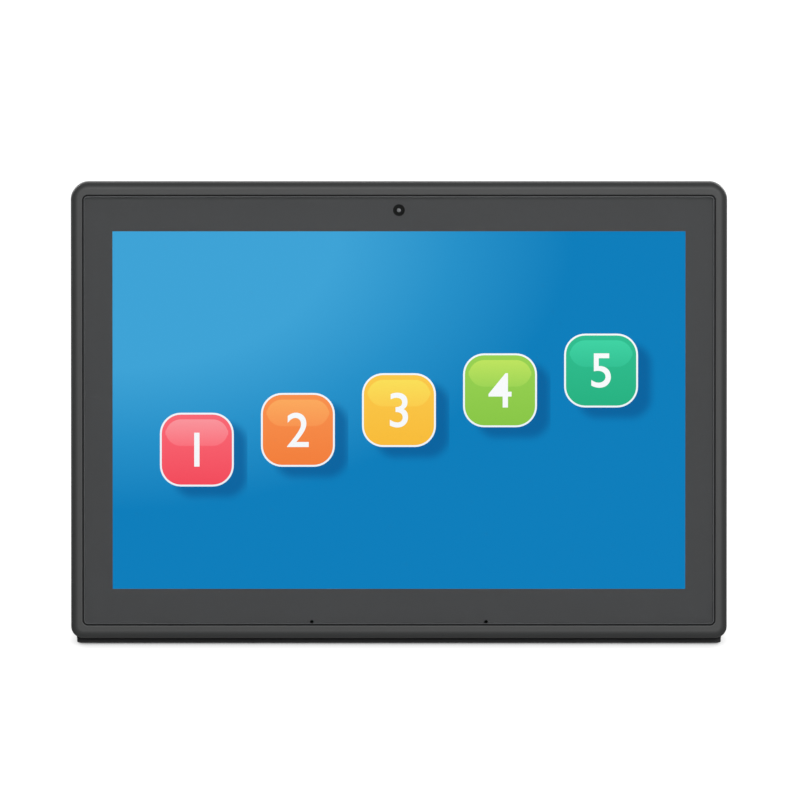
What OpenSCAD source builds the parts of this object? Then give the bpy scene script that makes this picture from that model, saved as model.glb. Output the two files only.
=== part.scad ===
// Counter tablet for customer feedback: a leaning display slab on a foot that runs backwards.
// +Z is up, the face looks along -Y, +X is right as seen from the front.
// The origin is under the middle of the body, on the counter.

/* [Display] */
// Width of the lit area of a 10.1 inch, 16:10 panel
view_w = 217; // [190:0.1:250]
// Height of the lit area
view_h = 135.6; // [115:0.1:160]
// Panel edge beyond the lit area, left and right
panel_side = 6.2; // [5:0.1:7]
// Panel edge above the lit area
panel_brow = 4; // [3.5:0.1:4.4]
// Panel edge below the lit area, where the row drivers are
panel_chin = 9.5; // [8:0.1:9.8]
// Dark printed border of the cover glass, left and right
border_x = 10.9; // [10.5:0.1:16]
// Dark printed border of the cover glass, above and below
border_y = 13.3; // [13:0.1:18]
// Thickness of the cover glass
glass_t = 1.8; // [1.1:0.1:2.4]
// Corner radius of the cover glass
glass_r = 1.5; // [0.5:0.1:3]
// Open groove between the glass and the frame
glass_gap = 0.6; // [0.3:0.1:1]
// Depth of the glass below the front of the frame
glass_sink = 0.15; // [0:0.05:0.5]
// Rounding of the front edge of the glass
glass_edge = 0.3; // [0.1:0.05:0.4]

/* [Frame] */
// Width of the frame beside the groove
frame_x = 4.3; // [3.2:0.1:7]
// Width of the frame above and below the groove
frame_y = 4.8; // [3.2:0.1:8]
// Radius of the face's upper corners
corner_r = 6.6; // [6:0.1:9]
// Radius of the face's lower corners, over the foot
low_corner_r = 4.5; // [4.5:0.1:6]
// Rounding of the front edge
edge_r = 2.7; // [0.8:0.1:2.8]
// Chamfer on the frame's inner edge, beside the groove
rim_chamfer = 0.3; // [0.1:0.05:0.4]
// Depth of the frame, from its front to the parting line
frame_depth = 9; // [8.6:0.1:10]
// Wall of the moulded shells
wall = 2.2; // [1.8:0.1:2.6]

/* [Body] */
// Lean of the face from upright
lean = 15; // [10:1:20]
// Thickness of the leaning slab
slab_t = 19; // [18:0.5:24]
// Rounding of the slab's rear edge
back_r = 4; // [3:0.1:4.4]
// Depth of the whole body
body_depth = 95; // [93:1:115]
// Height of the foot's top
foot_h = 30; // [29:0.5:36]
// Inset of the foot from each side of the slab
foot_inset = 2; // [1:0.1:6]
// Radius of the foot's rear corners, seen from above
foot_corner_r = 12; // [8:0.5:14]
// Rounding of the foot's top edge
foot_edge_r = 5; // [3:0.1:5.5]
// Radius of the cove between foot and slab
cove_r = 3; // [1:0.1:5]
// Thickness of the base plate
base_t = 2.4; // [2:0.1:3.2]

/* [Feet] */
// Diameter of a rubber foot
pad_d = 12; // [8:0.5:16]
// Thickness of a rubber foot
pad_t = 1.8; // [1.6:0.1:2]
// Height of a rubber foot below the base plate
pad_rise = 0.8; // [0.6:0.1:1]

/* [Camera and microphones] */
// Distance of the camera's axis below the top of the glass
camera_drop = 5.3; // [5:0.1:5.6]
// Clear window in the print, in front of the camera
window_d = 4.5; // [3:0.1:4.8]
// Diameter of the camera's barrel
barrel_d = 5; // [4.8:0.1:5]
// Diameter of the camera's lens
lens_d = 1.5; // [1:0.1:2.4]
// Distance of each microphone hole from the middle
mic_x = 33; // [20:0.5:60]
// Distance of the microphone holes above the bottom of the glass
mic_rise = 0.95; // [0.9:0.05:1.1]
// Diameter of a microphone hole
mic_d = 1; // [0.8:0.1:1.2]

/* [Openings in the back] */
// Width of a vent or speaker slot
slot_w = 2; // [1.2:0.1:2.6]
// Spacing of the vent slots
vent_pitch = 5; // [4:0.1:6]
// Number of vent slots
vent_count = 25; // [11:2:27]
// Length of a vent slot
vent_l = 12; // [8:0.5:16]
// Spacing of the speaker slots
grille_pitch = 4; // [3.4:0.1:4.2]
// Number of slots in front of a speaker
grille_count = 9; // [5:2:9]
// Length of a speaker slot
grille_l = 15; // [8:0.5:16]
// Distance of each speaker from the middle
speaker_x = 50; // [40:1:52]

/* [Electronics] */
// Width of the main board
board_w = 176; // [172:1:184]
// Depth of the main board
board_l = 62; // [58:0.5:64]
// Height of the posts under the main board
post_h = 4; // [3.5:0.1:4.5]
// Width of the heat sink
sink_w = 40; // [30:1:50]
// Height of the heat sink
sink_h = 10; // [6:0.5:11]
// Number of fins
fin_count = 9; // [5:1:11]

/* [Keys] */
// Travel of a key
key_travel = 0.4; // [0.2:0.05:0.5]
// Diameter of the power key
power_d = 7; // [5:0.1:8]
// Length of a volume key
volume_l = 11; // [9:0.1:12]
// Width of a volume key
volume_w = 5; // [4:0.1:6]

/* [Hidden] */
$fn = 48;

// Clearances
fit = 0.1;
slack = 0.3;
seam = 0.35;
cut = 1;

// Outer sizes, from the display outwards
glass_w = view_w + 2 * border_x;
glass_h = view_h + 2 * border_y;
seat_w = glass_w + 2 * glass_gap;
seat_h = glass_h + 2 * glass_gap;
face_w = seat_w + 2 * frame_x;
face_h = seat_h + 2 * frame_y;
inner_x = face_w / 2 - wall;
inner_y = face_h / 2 - wall;

// Layers behind the face, as depths from the front of the frame
mask_t = 0.1;
tape_t = 0.2;
sensor_t = 0.6;
gasket_t = 0.5;
cell_t = 1.4;
guide_t = 1.6;
tray_floor = 1;
ledge_t = 1.8;
d_mask = glass_sink + glass_t;
d_sensor = d_mask + mask_t;
d_seat = d_sensor + tape_t;
d_ledge = d_seat + ledge_t;
d_gasket = d_sensor + sensor_t;
d_cell = d_gasket + gasket_t;
d_guide = d_cell + cell_t;
d_floor = d_guide + guide_t;
d_panel = d_floor + tray_floor;
d_inside = slab_t - wall;

// Panel outline and its opening in the frame
panel_clear = 0.7;
panel_w = view_w + 2 * panel_side;
panel_h = view_h + panel_brow + panel_chin;
panel_y = (panel_brow - panel_chin) / 2;
opening_w = panel_w + 2 * panel_clear;
opening_h = panel_h + 2 * panel_clear;
gasket_edge = 0.75;
guide_edge = 1.5;
cell_edge = 2.3;
sensor_edge = 3.3;
guide_w = view_w + 2 * guide_edge;
guide_h = view_h + 2 * guide_edge;
cell_w = view_w + 2 * cell_edge;
cell_h = view_h + 2 * cell_edge;

// Heights and depths over the counter
base_top = pad_rise + base_t;
face_lift = base_top + seam + frame_depth * sin(lean);
front_y = edge_r * (sin(lean) + cos(lean) - 1);
rear_y = front_y + body_depth;
mid_y = front_y + body_depth / 2;
foot_w = face_w - 2 * foot_inset;
lip_h = 3.2;
lip_t = 1.5;
base_front = frame_depth * cos(lean) + (lip_h - seam) * tan(lean) + seam;

// Where the foot's top meets the back of the slab
foot_u = (foot_h - face_lift + slab_t * sin(lean)) / cos(lean);
foot_y = foot_u * sin(lean) + slab_t * cos(lean);

// Brackets that hold the panel, with stand-offs for the shell screws
bracket_t = 0.8;
boss_d = 4.4;
boss_x = opening_w / 2 + boss_d / 2;
boss_y = 26;
tongue_t = 1.1;
tongue_h = 1.5;
tongue_clear = 0.2;
bracket_reach = inner_x - tongue_clear - tongue_t - slack;
standoff_inset = 9;
standoff_rise = 12;
standoff_x = panel_w / 2 - standoff_inset;
standoff_d = 5.5;
standoff_l = 4;
standoff_ys = [foot_u + standoff_rise - face_h / 2, 44];
bracket_end = 8;
d_standoff = d_panel + bracket_t;
d_post = d_standoff + standoff_l;
post_d = 7.4;
post_floor = 1.9;

// Screws: shank diameter, head diameter, head height
m2 = [2, 3.6, 1.3];
m3 = [3, 5.4, 1.9];
m3_low = [3, 5.4, 1.1];
recess_w = 0.8;
recess_part = 0.6;
base_screw_l = 10;

// Camera and microphones
camera_y = glass_h / 2 - camera_drop;
mic_y = mic_rise - glass_h / 2;
camera_w = 7;
camera_t = 3.4;
camera_board_t = 0.8;
camera_post_d = 6;
d_camera = d_ledge + fit / 2;
d_camera_board = d_camera + camera_t;
boot_w = 6;
boot_h = 3.6;
boot_t = 2.5;
mic_board_t = 1;
mic_board_w = 8;

// Speakers on the inside of the slab's back
speaker_w = 40;
speaker_h = 20;
speaker_rise = 32;
speaker_y = foot_u + speaker_rise - face_h / 2;
ear_x = 22.5;
ear_d = 5;
gasket_foam = 1;
speaker_plate = 1.5;
magnet_d = 15;
magnet_t = 4;
cone_t = 0.4;
cone_edge = 2;
cone_w = speaker_w - 2 * cone_edge;
cone_h = speaker_h - 2 * cone_edge;
d_speaker = d_inside - gasket_foam;
vent_drop = 24;
vent_y = face_h / 2 - vent_drop;
antenna_w = 42;
antenna_h = 8;
antenna_t = 0.4;
antenna_side = 9.8;
antenna_x = inner_x - antenna_side - antenna_w;
antenna_drop = 10;
antenna_y = inner_y - antenna_drop;

// Main board and what stands on it
board_t = 1.6;
board_bottom = base_top + post_h;
board_top = board_bottom + board_t;
mouth_y = rear_y - wall - tongue_clear;
port_overhang = 1.6;
board_rear = mouth_y - port_overhang;
board_front = board_rear - board_l;
board_hole = 5;
board_hole_front = 12;
board_post_d = 6;
chip_t = 1.2;
pad_gap = 1;
chip_w = 15;
chip_inset = 24;
chip_y = board_front + chip_inset;
sink_base = 2;
fin_t = 1.4;
connector_h = 1.6;
connector_l = 4;
connector_inset = 3;
connector_y = board_front + connector_inset;

// Posts between the foot's top and the base plate
leg_d = 7;
leg_inset = 11;
leg_front = 8;
leg_rear = 1;
leg_x = foot_w / 2 - leg_inset;
leg_ys = [foot_y + leg_front, rear_y - foot_corner_r - leg_rear];
pad_inset = 25;
pad_front = 12;
pad_rear = 14;
pad_bevel = 0.64;
pad_x = foot_w / 2 - pad_inset;
pad_ys = [base_front + pad_front, rear_y - pad_rear];
base_front_r = 2;
base_vent_count = 13;

// Ports and keys along the rear edge of the board, by their middle, in steps of its width
port_step = board_w / 44;
usb_c_x = 6.25 * port_step;
usb_xs = [1.75 * port_step, -3.25 * port_step];
network_x = -9 * port_step;
audio_x = -13.5 * port_step;
power_jack_x = -18 * port_step;
power_key_x = 18.5 * port_step;
volume_up_x = 14.5 * port_step;
volume_down_x = 10.75 * port_step;
key_z = 3.8;
bay_inset = 3;
bay_w = board_w - 2 * bay_inset;
bay_h = 17;
bay_r = 2.5;
bay_sink = 1;
plate_edge = 1.2;
plate_t = wall - bay_sink;
bay_rise = 6.2;
bay_z = board_top + bay_rise;
lock_inset = 23;
lock_x = foot_w / 2 - lock_inset;
lock_rise = 6;
lock_z = board_top + lock_rise;
lock_w = 7;
lock_h = 3;

usb_size = [13.2, 5.8, 14];
usb_cavity = [12.5, 5.1, 9.5];
usb_tongue = [11.1, 1.8];
usb_rise = 0.4;
usb_c_size = [8.9, 3.3, 7.5];
usb_c_tongue = [6.7, 0.7];
usb_c_wall = 0.3;
usb_c_back = 1.5;
usb_c_rise = 1.9;
network_size = [16, 13.4, 21];
network_cavity = [11.8, 7.4, 13];
network_floor = 4.8;
latch_notches = [[6.4, 1.6], [4, 3]];
contact_count = 8;
contact_pitch = 1.27;
contact_size = [0.4, 0.5];
contact_drop = 1.1;
contact_short = 3;
power_size = [9, 11, 14.4];
power_axis = 6.2;
power_bore = 6.4;
power_depth = 9.5;
pin_d = 2;
audio_size = [6.6, 5.4, 14];
audio_axis = 2.7;
audio_bore = 3.6;
audio_back = 1;

flange_t = 1;
flange_lip = 1.2;
key_proud = 0.8;
stem_d = 3;
stem_l = 1.2;
plunger_d = 2.2;
plunger_out = 1;
plunger_in = 1.2;
switch_size = [6.2, 6, 4.6];

// Steel plate behind the lock slot
lock_t = 1.2;
lock_pin_d = 2;
lock_pin_gap = 2.2;
lock_pin_x = lock_w / 2 + lock_pin_gap;
lock_plate_size = [16, 9];

// Chips on the board and on the panel's driver board
memory_size = [11, 9];
radio_size = [14, 13];
regulator_size = [9, 9];
memory_x = 8 * port_step;
regulator_x = -13 * port_step;
radio_x = 14.5 * port_step;
driver_inset = 12;
driver_h = 10;
driver_t = 1;
driver_rise = 3;
driver_chip = [14, 4, 1];

// Clock battery
battery_x = -17.75 * port_step;
battery_d = 12.5;
battery_t = 2;
battery_groove = 0.3;

// Leads: middle and width of each one across the board's front edge
display_lead_x = -17;
touch_lead_x = 22;
camera_lead_x = 11;
speaker_lead_in = 8;
speaker_lead_x = speaker_x - speaker_lead_in;
lead_clear = 2;
antenna_lead_x = speaker_x + ear_x + ear_d / 2 + lead_clear;
display_lead_w = 22;
touch_lead_w = 10;
camera_lead_w = 6;
audio_lead_w = 2.4;
antenna_lead_w = 1.2;
lead_t = 0.3;
audio_lead_t = 1;
lead_places = [[display_lead_x, display_lead_w], [touch_lead_x, touch_lead_w],
  [camera_lead_x, camera_lead_w], [speaker_lead_x, audio_lead_w], [-speaker_lead_x, audio_lead_w],
  [mic_x, audio_lead_w], [-mic_x, audio_lead_w], [antenna_lead_x, antenna_lead_w],
  [-antenna_lead_x, antenna_lead_w]];
lead_run = 6;
lead_end = [[connector_y - lead_run, board_top + connector_h / 2],
  [connector_y, board_top + connector_h / 2]];
panel_bottom = panel_y - panel_h / 2;
d_lead = d_speaker - speaker_plate - fit - audio_lead_t / 2;
lead_bend_v = foot_u - face_h / 2 - 2 * wall;

// Depths of a key's flange and stem behind the mouth of the ports
flange_z = -fit - flange_t;
stem_z = flange_z - stem_l;

// Point on the slab, as [y, z] over the counter, from a height on the face and a depth behind it
function on_slab(v, d) = [(face_h / 2 + v) * sin(lean) + d * cos(lean),
  face_lift + (face_h / 2 + v) * cos(lean) - d * sin(lean)];

// Puts a drawing on the leaning face at a depth: X across, Y up the face, Z outwards
module on_face(depth = 0)
  translate([0, -mid_y, face_lift])
    rotate([90 - lean, 0, 0])
      translate([0, face_h / 2, -depth])
        children();

// Puts a drawing on the counter, with Y measured from the face's lower edge
module on_counter(z = 0)
  translate([0, -mid_y, z])
    children();

// Puts a drawing on the rear edge of the board as seen from behind: Y up, Z out of the port
module at_rear(x, z = board_top)
  translate([x, mouth_y - mid_y, z])
    rotate([90, 0, 180])
      children();

module both_sides()
  for (side = [-1, 1])
    scale([side, 1, 1])
      children();

module rounded_rect(w, h, r) {
  square([w - 2 * r, h], center = true);
  square([w, h - 2 * r], center = true);
  for (sx = [-1, 1], sy = [-1, 1])
    translate([sx * (w / 2 - r), sy * (h / 2 - r)])
      circle(r);
}

// Slot with round ends, its long way along Y
module round_slot(w, l) {
  square([w, l - w], center = true);
  for (end = [-1, 1])
    translate([0, end * (l - w) / 2])
      circle(w / 2);
}

// Section through a plate's rim, from its corner axis outwards, with a rounded upper edge
module rim_section(reach, t, r)
  intersection() {
    square([reach, t]);
    union() {
      square([reach - r, t]);
      square([reach, t - r]);
      translate([reach - r, t - r])
        circle(r);
    }
  }

// Plate with round corners, built from its core, four sides and four corners; the rim's section is
// drawn from the corner axis outwards
module swept_plate(w, h, t, corner) {
  core_x = w / 2 - corner;
  core_y = h / 2 - corner;
  linear_extrude(t)
    square([2 * core_x, 2 * core_y], center = true);
  for (turn = [0, 180])
    rotate([0, 0, turn]) {
      translate([core_x, core_y, 0])
        rotate([90, 0, 0])
          linear_extrude(2 * core_y)
            children();
      translate([-core_x, core_y, 0])
        rotate([90, 0, 90])
          linear_extrude(2 * core_x)
            children();
    }
  for (quarter = [0 : 3])
    translate([[core_x, -core_x, -core_x, core_x][quarter], [core_y, core_y, -core_y, -core_y][quarter], 0])
      rotate([0, 0, 90 * quarter])
        rotate_extrude(angle = 90)
          children();
}

// Plate whose upper edge is rounded
module rounded_plate(w, h, t, corner, edge)
  swept_plate(w, h, t, corner)
    rim_section(corner, t, edge);

// Plate in the outline of the face, whose upper edge is rounded: its lower half has tighter corners
module face_plate(t, edge)
  for (half = [[1, corner_r], [-1, low_corner_r]])
    intersection() {
      rounded_plate(face_w, face_h, t, half[1], edge);
      translate([0, half[0] * face_h / 2, 0])
        cube([2 * face_w, face_h, 4 * t], center = true);
    }

// Plate that widens at its upper edge, for cutting a chamfered opening
module flared_plate(w, h, t, corner, flare)
  swept_plate(w, h, t, corner)
    polygon([[0, 0], [corner, 0], [corner, t - 2 * flare], [corner + 2 * flare, t], [0, t]]);

// Screw with its head on the XY plane, its shank below and a cross recess
module screw(size, length) {
  recess = size[1] * recess_part;
  difference() {
    union() {
      cylinder(d = size[1], h = size[2]);
      translate([0, 0, -length])
        cylinder(d = size[0], h = length + size[2] / 2);
    }
    for (turn = [0, 90])
      rotate([0, 0, turn])
        translate([0, 0, size[2]])
          cube([recess, recess_w, size[2]], center = true);
  }
}

// Unit vector square to a step of a lead's path
function beside(step) = [-step[1], step[0]] / norm(step);

// One side of a lead: its path moved sideways, with mitred corners
function lead_side(points, shift) = [for (i = [0 : len(points) - 1])
  let (before = beside(points[max(i, 1)] - points[max(i, 1) - 1]),
    after = beside(points[min(i + 1, len(points) - 1)] - points[min(i, len(points) - 2)]))
  points[i] + shift * (before + after) / (1 + before * after)];

function backwards(points) = [for (i = [len(points) - 1 : -1 : 0]) points[i]];

// Flat lead of a width, along a path of [y, z] points over the counter
module flat_lead(x, w, points, t = lead_t)
  on_counter()
    translate([x - w / 2, 0, 0])
      rotate([90, 0, 90])
        linear_extrude(w)
          polygon(concat(lead_side(points, t / 2), backwards(lead_side(points, -t / 2))));

module mic_places()
  both_sides()
    translate([mic_x, mic_y, 0])
      children();

module boss_places()
  both_sides()
    for (y = [-boss_y, boss_y])
      translate([boss_x, y, 0])
        children();

module standoff_places()
  both_sides()
    for (y = standoff_ys)
      translate([standoff_x, y, 0])
        children();

module ear_places()
  both_sides()
    for (end = [-1, 1])
      translate([speaker_x + end * ear_x, speaker_y, 0])
        children();

module board_hole_places()
  both_sides()
    for (y = [board_front + board_hole_front, board_rear - board_hole])
      translate([board_w / 2 - board_hole, y, 0])
        children();

module leg_places()
  both_sides()
    for (y = leg_ys)
      translate([leg_x, y, 0])
        children();

module pad_places()
  both_sides()
    for (y = pad_ys)
      translate([pad_x, y, 0])
        children();

// Front frame: rounded rim, seat for the glass, ledge behind it, bosses and the camera's pocket
module front_bezel()
  color("#555657")
    on_face()
      difference() {
        union() {
          difference() {
            translate([0, 0, -frame_depth])
              face_plate(frame_depth, edge_r);
            translate([0, 0, -d_seat])
              flared_plate(seat_w, seat_h, d_seat + rim_chamfer, glass_r + glass_gap, rim_chamfer);
            translate([0, panel_y, -frame_depth - cut])
              linear_extrude(frame_depth + cut)
                square([opening_w, opening_h], center = true);
            translate([0, 0, -frame_depth - cut])
              linear_extrude(frame_depth + cut - d_ledge)
                rounded_rect(2 * inner_x, 2 * inner_y, corner_r - wall);
          }
          bezel_tongue();
          boss_places()
            translate([0, 0, -d_panel])
              cylinder(d = boss_d, h = d_panel - d_ledge + fit);
          camera_pocket();
        }
        boss_places()
          translate([0, 0, -d_panel - cut])
            cylinder(d = m2[0] + fit, h = d_panel - d_seat);
        translate([0, camera_y, -d_ledge - cut])
          cylinder(d = barrel_d + 2 * tongue_clear, h = ledge_t + 2 * cut);
        mic_places()
          translate([0, 0, -d_ledge - cut])
            cylinder(d = mic_d + tongue_clear, h = ledge_t + 2 * cut);
      }

// Tongue on the frame's rear edge that slips inside the rear shell, above the foot
module bezel_tongue()
  intersection() {
    union() {
      translate([0, 0, -frame_depth - tongue_h])
        linear_extrude(tongue_h + tongue_t)
          tongue_ring(tongue_clear);
      translate([0, 0, -frame_depth])
        linear_extrude(tongue_t)
          tongue_ring(-tongue_clear);
    }
    translate([0, foot_u, -frame_depth])
      cube([face_w, face_h, 4 * tongue_h], center = true);
  }

module tongue_ring(gap)
  difference() {
    rounded_rect(2 * (inner_x - gap), 2 * (inner_y - gap), corner_r - wall - gap);
    square([2 * (inner_x - tongue_clear - tongue_t), 2 * (inner_y - tongue_clear - tongue_t)], center = true);
  }

// Three walls round the camera, open towards the panel
module camera_pocket()
  intersection() {
    translate([0, camera_y, -d_camera_board + slack])
      linear_extrude(camera_t)
        difference() {
          square(camera_w + 2 * (tongue_clear + tongue_t), center = true);
          square(camera_w + 2 * tongue_clear, center = true);
        }
    translate([0, panel_y + opening_h / 2 + camera_w, -d_camera_board])
      cube([2 * camera_w, 2 * camera_w, 4 * camera_t], center = true);
  }

module cover_glass()
  color("#101214", 0.35)
    on_face(d_mask)
      difference() {
        rounded_plate(glass_w, glass_h, glass_t, glass_r, glass_edge);
        mic_places()
          translate([0, 0, -cut])
            cylinder(d = mic_d, h = glass_t + 2 * cut);
      }

// Dark print behind the glass, open over the display, the camera and the microphones
module border_mask()
  color("#4a4a4b")
    on_face(d_sensor)
      linear_extrude(mask_t)
        difference() {
          rounded_rect(glass_w - 2 * fit, glass_h - 2 * fit, glass_r - fit);
          square([view_w, view_h], center = true);
          translate([0, camera_y])
            circle(d = window_d);
          mic_places()
            circle(d = mic_d);
        }

module glass_tape()
  color("#1c1c1c")
    on_face(d_seat)
      linear_extrude(tape_t)
        difference() {
          square([glass_w - 2 * seam, glass_h - 2 * seam], center = true);
          translate([0, panel_y])
            square([opening_w + seam, opening_h + seam], center = true);
          translate([0, camera_y])
            circle(d = barrel_d + 2 * tongue_t);
          mic_places()
            circle(d = 2 * mic_d);
        }

// Touch sensor, with the bonding layer that fills the window of the print
module touch_sensor()
  color("#8fa7b3", 0.4)
    on_face(d_gasket) {
      linear_extrude(sensor_t)
        square([view_w + 2 * sensor_edge, view_h + 2 * sensor_edge], center = true);
      linear_extrude(sensor_t + mask_t)
        square([view_w - 2 * fit, view_h - 2 * fit], center = true);
    }

module display_gasket()
  color("#222222")
    on_face(d_cell)
      linear_extrude(gasket_t)
        difference() {
          square([cell_w, cell_h], center = true);
          square([view_w + 2 * gasket_edge, view_h + 2 * gasket_edge], center = true);
        }

module lcd_cell()
  color("#1286c1")
    on_face(d_guide)
      linear_extrude(cell_t)
        square([cell_w, cell_h], center = true);

module light_guide()
  color("#f2f5f7")
    on_face(d_floor)
      linear_extrude(guide_t)
        square([guide_w, guide_h], center = true);

module backlight_tray()
  color("#b9bdc0")
    on_face(d_panel)
      difference() {
        translate([0, panel_y, 0])
          linear_extrude(d_panel - d_cell - fit)
            square([panel_w, panel_h], center = true);
        translate([0, 0, d_panel - d_guide])
          linear_extrude(cell_t + cut)
            square([cell_w + slack, cell_h + slack], center = true);
        translate([0, 0, tray_floor])
          linear_extrude(guide_t + cut)
            square([guide_w + slack, guide_h + slack], center = true);
      }

// Long narrow board with the panel's drivers, on the back of the tray
module panel_driver_board() {
  driver_w = view_w - 2 * driver_inset;
  color("#1d5a3a")
    on_face(d_panel + fit)
      translate([0, panel_bottom + driver_rise + driver_h / 2, -driver_t]) {
        linear_extrude(driver_t)
          square([driver_w, driver_h], center = true);
        for (step = [-2 : 2])
          translate([step * driver_w / 6 - driver_chip[0] / 2, -driver_chip[1] / 2, -driver_chip[2]])
            cube(driver_chip);
      }
}

// Pressed steel straps over the left and right edges of the panel
module display_brackets()
  color("#c3c6c8")
    on_face(d_standoff)
      both_sides()
        linear_extrude(bracket_t)
          difference() {
            bracket_outline();
            for (y = [-boss_y, boss_y])
              translate([boss_x, y])
                circle(d = m2[0] + slack);
            for (y = standoff_ys)
              translate([standoff_x, y])
                circle(d = m3[0] + slack);
          }

module bracket_outline() {
  low = standoff_ys[0] - bracket_end;
  high = standoff_ys[1] + bracket_end;
  inside = standoff_x - bracket_end;
  difference() {
    translate([(inside + bracket_reach) / 2, (low + high) / 2])
      rounded_rect(bracket_reach - inside, high - low, bracket_end / 4);
    translate([inside, (low + high) / 2])
      round_slot(bracket_end * 2, high - low - 4 * bracket_end);
  }
}

module bracket_screws()
  color("#c9ccce")
    on_face(d_standoff)
      boss_places()
        rotate([180, 0, 0])
          screw(m2, d_standoff - d_ledge);

module bracket_standoffs()
  color("#b5954a")
    on_face(d_post)
      standoff_places()
        difference() {
          cylinder(d = standoff_d, h = standoff_l);
          translate([0, 0, -cut])
            cylinder(d = m3[0] + fit, h = standoff_l + 2 * cut);
        }

// Camera: a housing behind the ledge with a barrel that reaches the back of the glass
module camera_body()
  color("#161616")
    on_face(d_camera_board)
      translate([0, camera_y, 0])
        difference() {
          union() {
            translate([0, 0, camera_t / 2])
              cube([camera_w, camera_w, camera_t], center = true);
            cylinder(d = barrel_d, h = d_camera_board - d_sensor - fit);
          }
          translate([0, 0, camera_t])
            cylinder(d = lens_d + fit, h = d_camera_board);
        }

module camera_lens()
  color("#5a6470")
    on_face(d_camera_board)
      translate([0, camera_y, camera_t])
        intersection() {
          cylinder(d = lens_d, h = d_camera - d_sensor);
          translate([0, 0, d_camera - d_sensor - slack - lens_d])
            sphere(lens_d);
        }

module camera_board()
  color("#1d5a3a")
    on_face(d_camera_board + camera_board_t)
      translate([-camera_w / 2, camera_y - camera_w / 2, 0])
        cube([camera_w + camera_lead_x, camera_w, camera_board_t]);

module microphone_boots()
  color("#2a2a2a")
    on_face(d_ledge + boot_t)
      mic_places()
        linear_extrude(boot_t)
          difference() {
            square([boot_w, boot_h], center = true);
            circle(d = mic_d);
          }

module microphone_boards()
  color("#1d5a3a")
    on_face(d_ledge + boot_t + mic_board_t)
      mic_places()
        linear_extrude(mic_board_t)
          square([mic_board_w, boot_h], center = true);

// Leaning half of the rear shell, from the parting line to the back
module slab_form()
  on_face(frame_depth)
    mirror([0, 0, 1])
      face_plate(slab_t - frame_depth, back_r);

// Hollow inside the leaning half
module slab_hollow()
  on_face(frame_depth - cut)
    mirror([0, 0, 1])
      rounded_plate(2 * inner_x, 2 * inner_y, d_inside - frame_depth + cut, corner_r - wall,
        max(back_r - wall, fit));

// Foot, which runs from the slab to the rear; it starts in front of the slab, where it is cut away
module foot_form(inset, bottom) {
  foot_front = -foot_corner_r;
  foot_l = rear_y - foot_front;
  on_counter(bottom)
    translate([0, foot_front + foot_l / 2, 0])
      rounded_plate(foot_w - 2 * inset, foot_l - 2 * inset, foot_h - inset - bottom,
        foot_corner_r - inset, max(foot_edge_r - inset, fit));
}

// Everything behind the frame's parting line
module behind_frame()
  on_face(frame_depth)
    translate([0, 0, -body_depth * 2])
      linear_extrude(body_depth * 2)
        square(face_w * 3, center = true);

// Cove between the top of the foot and the back of the slab
module cove() {
  half = (90 - lean) / 2;
  reach = cove_r / tan(half);
  centre = [foot_y, foot_h] + cove_r / sin(half) * [cos(half), sin(half)];
  along = [foot_y, foot_h] + reach * [1, 0];
  upward = [foot_y, foot_h] + reach * [sin(lean), cos(lean)];
  cove_w = foot_w - 2 * foot_edge_r;
  on_counter()
    translate([-cove_w / 2, 0, 0])
      rotate([90, 0, 90])
        linear_extrude(cove_w)
          difference() {
            polygon([[foot_y, foot_h], along, centre, upward]);
            translate(centre)
              circle(cove_r);
          }
}

// Rear shell: the back of the slab and the foot in one hollow moulding
module rear_shell()
  color("#3c3d3e")
    difference() {
      union() {
        difference() {
          union() {
            slab_form();
            intersection() {
              foot_form(0, base_top);
              behind_frame();
            }
            cove();
          }
          slab_hollow();
          foot_form(wall, base_top - cut);
          on_counter()
            translate([-face_w, -body_depth, base_top - body_depth])
              cube([2 * face_w, 3 * body_depth, body_depth]);
        }
        shell_posts();
      }
      shell_cuts();
      rear_cuts();
    }

// Posts inside the rear shell: for its own screws, the camera, the speakers, the lock plate and the base
module shell_posts() {
  on_face(d_inside + fit) {
    standoff_places()
      cylinder(d = post_d, h = d_inside - d_post);
    translate([0, camera_y, 0])
      cylinder(d = camera_post_d, h = d_inside - d_camera_board - camera_board_t);
    ear_places()
      cylinder(d = ear_d, h = gasket_foam + fit);
  }
  on_counter(base_top)
    leg_places()
      cylinder(d = leg_d, h = foot_h - wall + fit - base_top);
  lock_pin_places()
    translate([0, 0, -lock_t - 2 * fit])
      cylinder(d = lock_pin_d, h = lock_t + 3 * fit + tongue_clear);
}

// Screw holes, vents, speaker slots and pilot holes
module shell_cuts() {
  on_face(slab_t + cut) {
    standoff_places() {
      cylinder(d = m3[0] + slack, h = slab_t);
      cylinder(d = m3[1] + slack, h = slab_t + cut - d_post - post_floor);
    }
    for (step = [-(vent_count - 1) / 2 : (vent_count - 1) / 2])
      translate([step * vent_pitch, vent_y, 0])
        linear_extrude(wall + 2 * cut)
          round_slot(slot_w, vent_l);
    both_sides()
      for (step = [-(grille_count - 1) / 2 : (grille_count - 1) / 2])
        translate([speaker_x + step * grille_pitch, speaker_y, 0])
          linear_extrude(wall + 2 * cut)
            round_slot(slot_w, grille_l);
  }
  on_face(d_inside + wall / 2)
    ear_places()
      cylinder(d = m2[0] + fit, h = wall + gasket_foam);
  on_counter(base_top - cut)
    leg_places()
      cylinder(d = m3[0] + fit, h = foot_h - wall - base_top);
}

// Bay in the rear wall, with a step behind its rim for the port plate, and the lock slot
module rear_cuts() {
  rear_cut(0, bay_z)
    rounded_rect(bay_w, bay_h, bay_r);
  at_rear(0, bay_z)
    translate([0, 0, -cut])
      linear_extrude(cut + tongue_clear + plate_t)
        rounded_rect(bay_w + 2 * plate_edge, bay_h + 2 * plate_edge, bay_r);
  rear_cut(lock_x, lock_z)
    rounded_rect(lock_w, lock_h, lock_h / 4);
}

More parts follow.
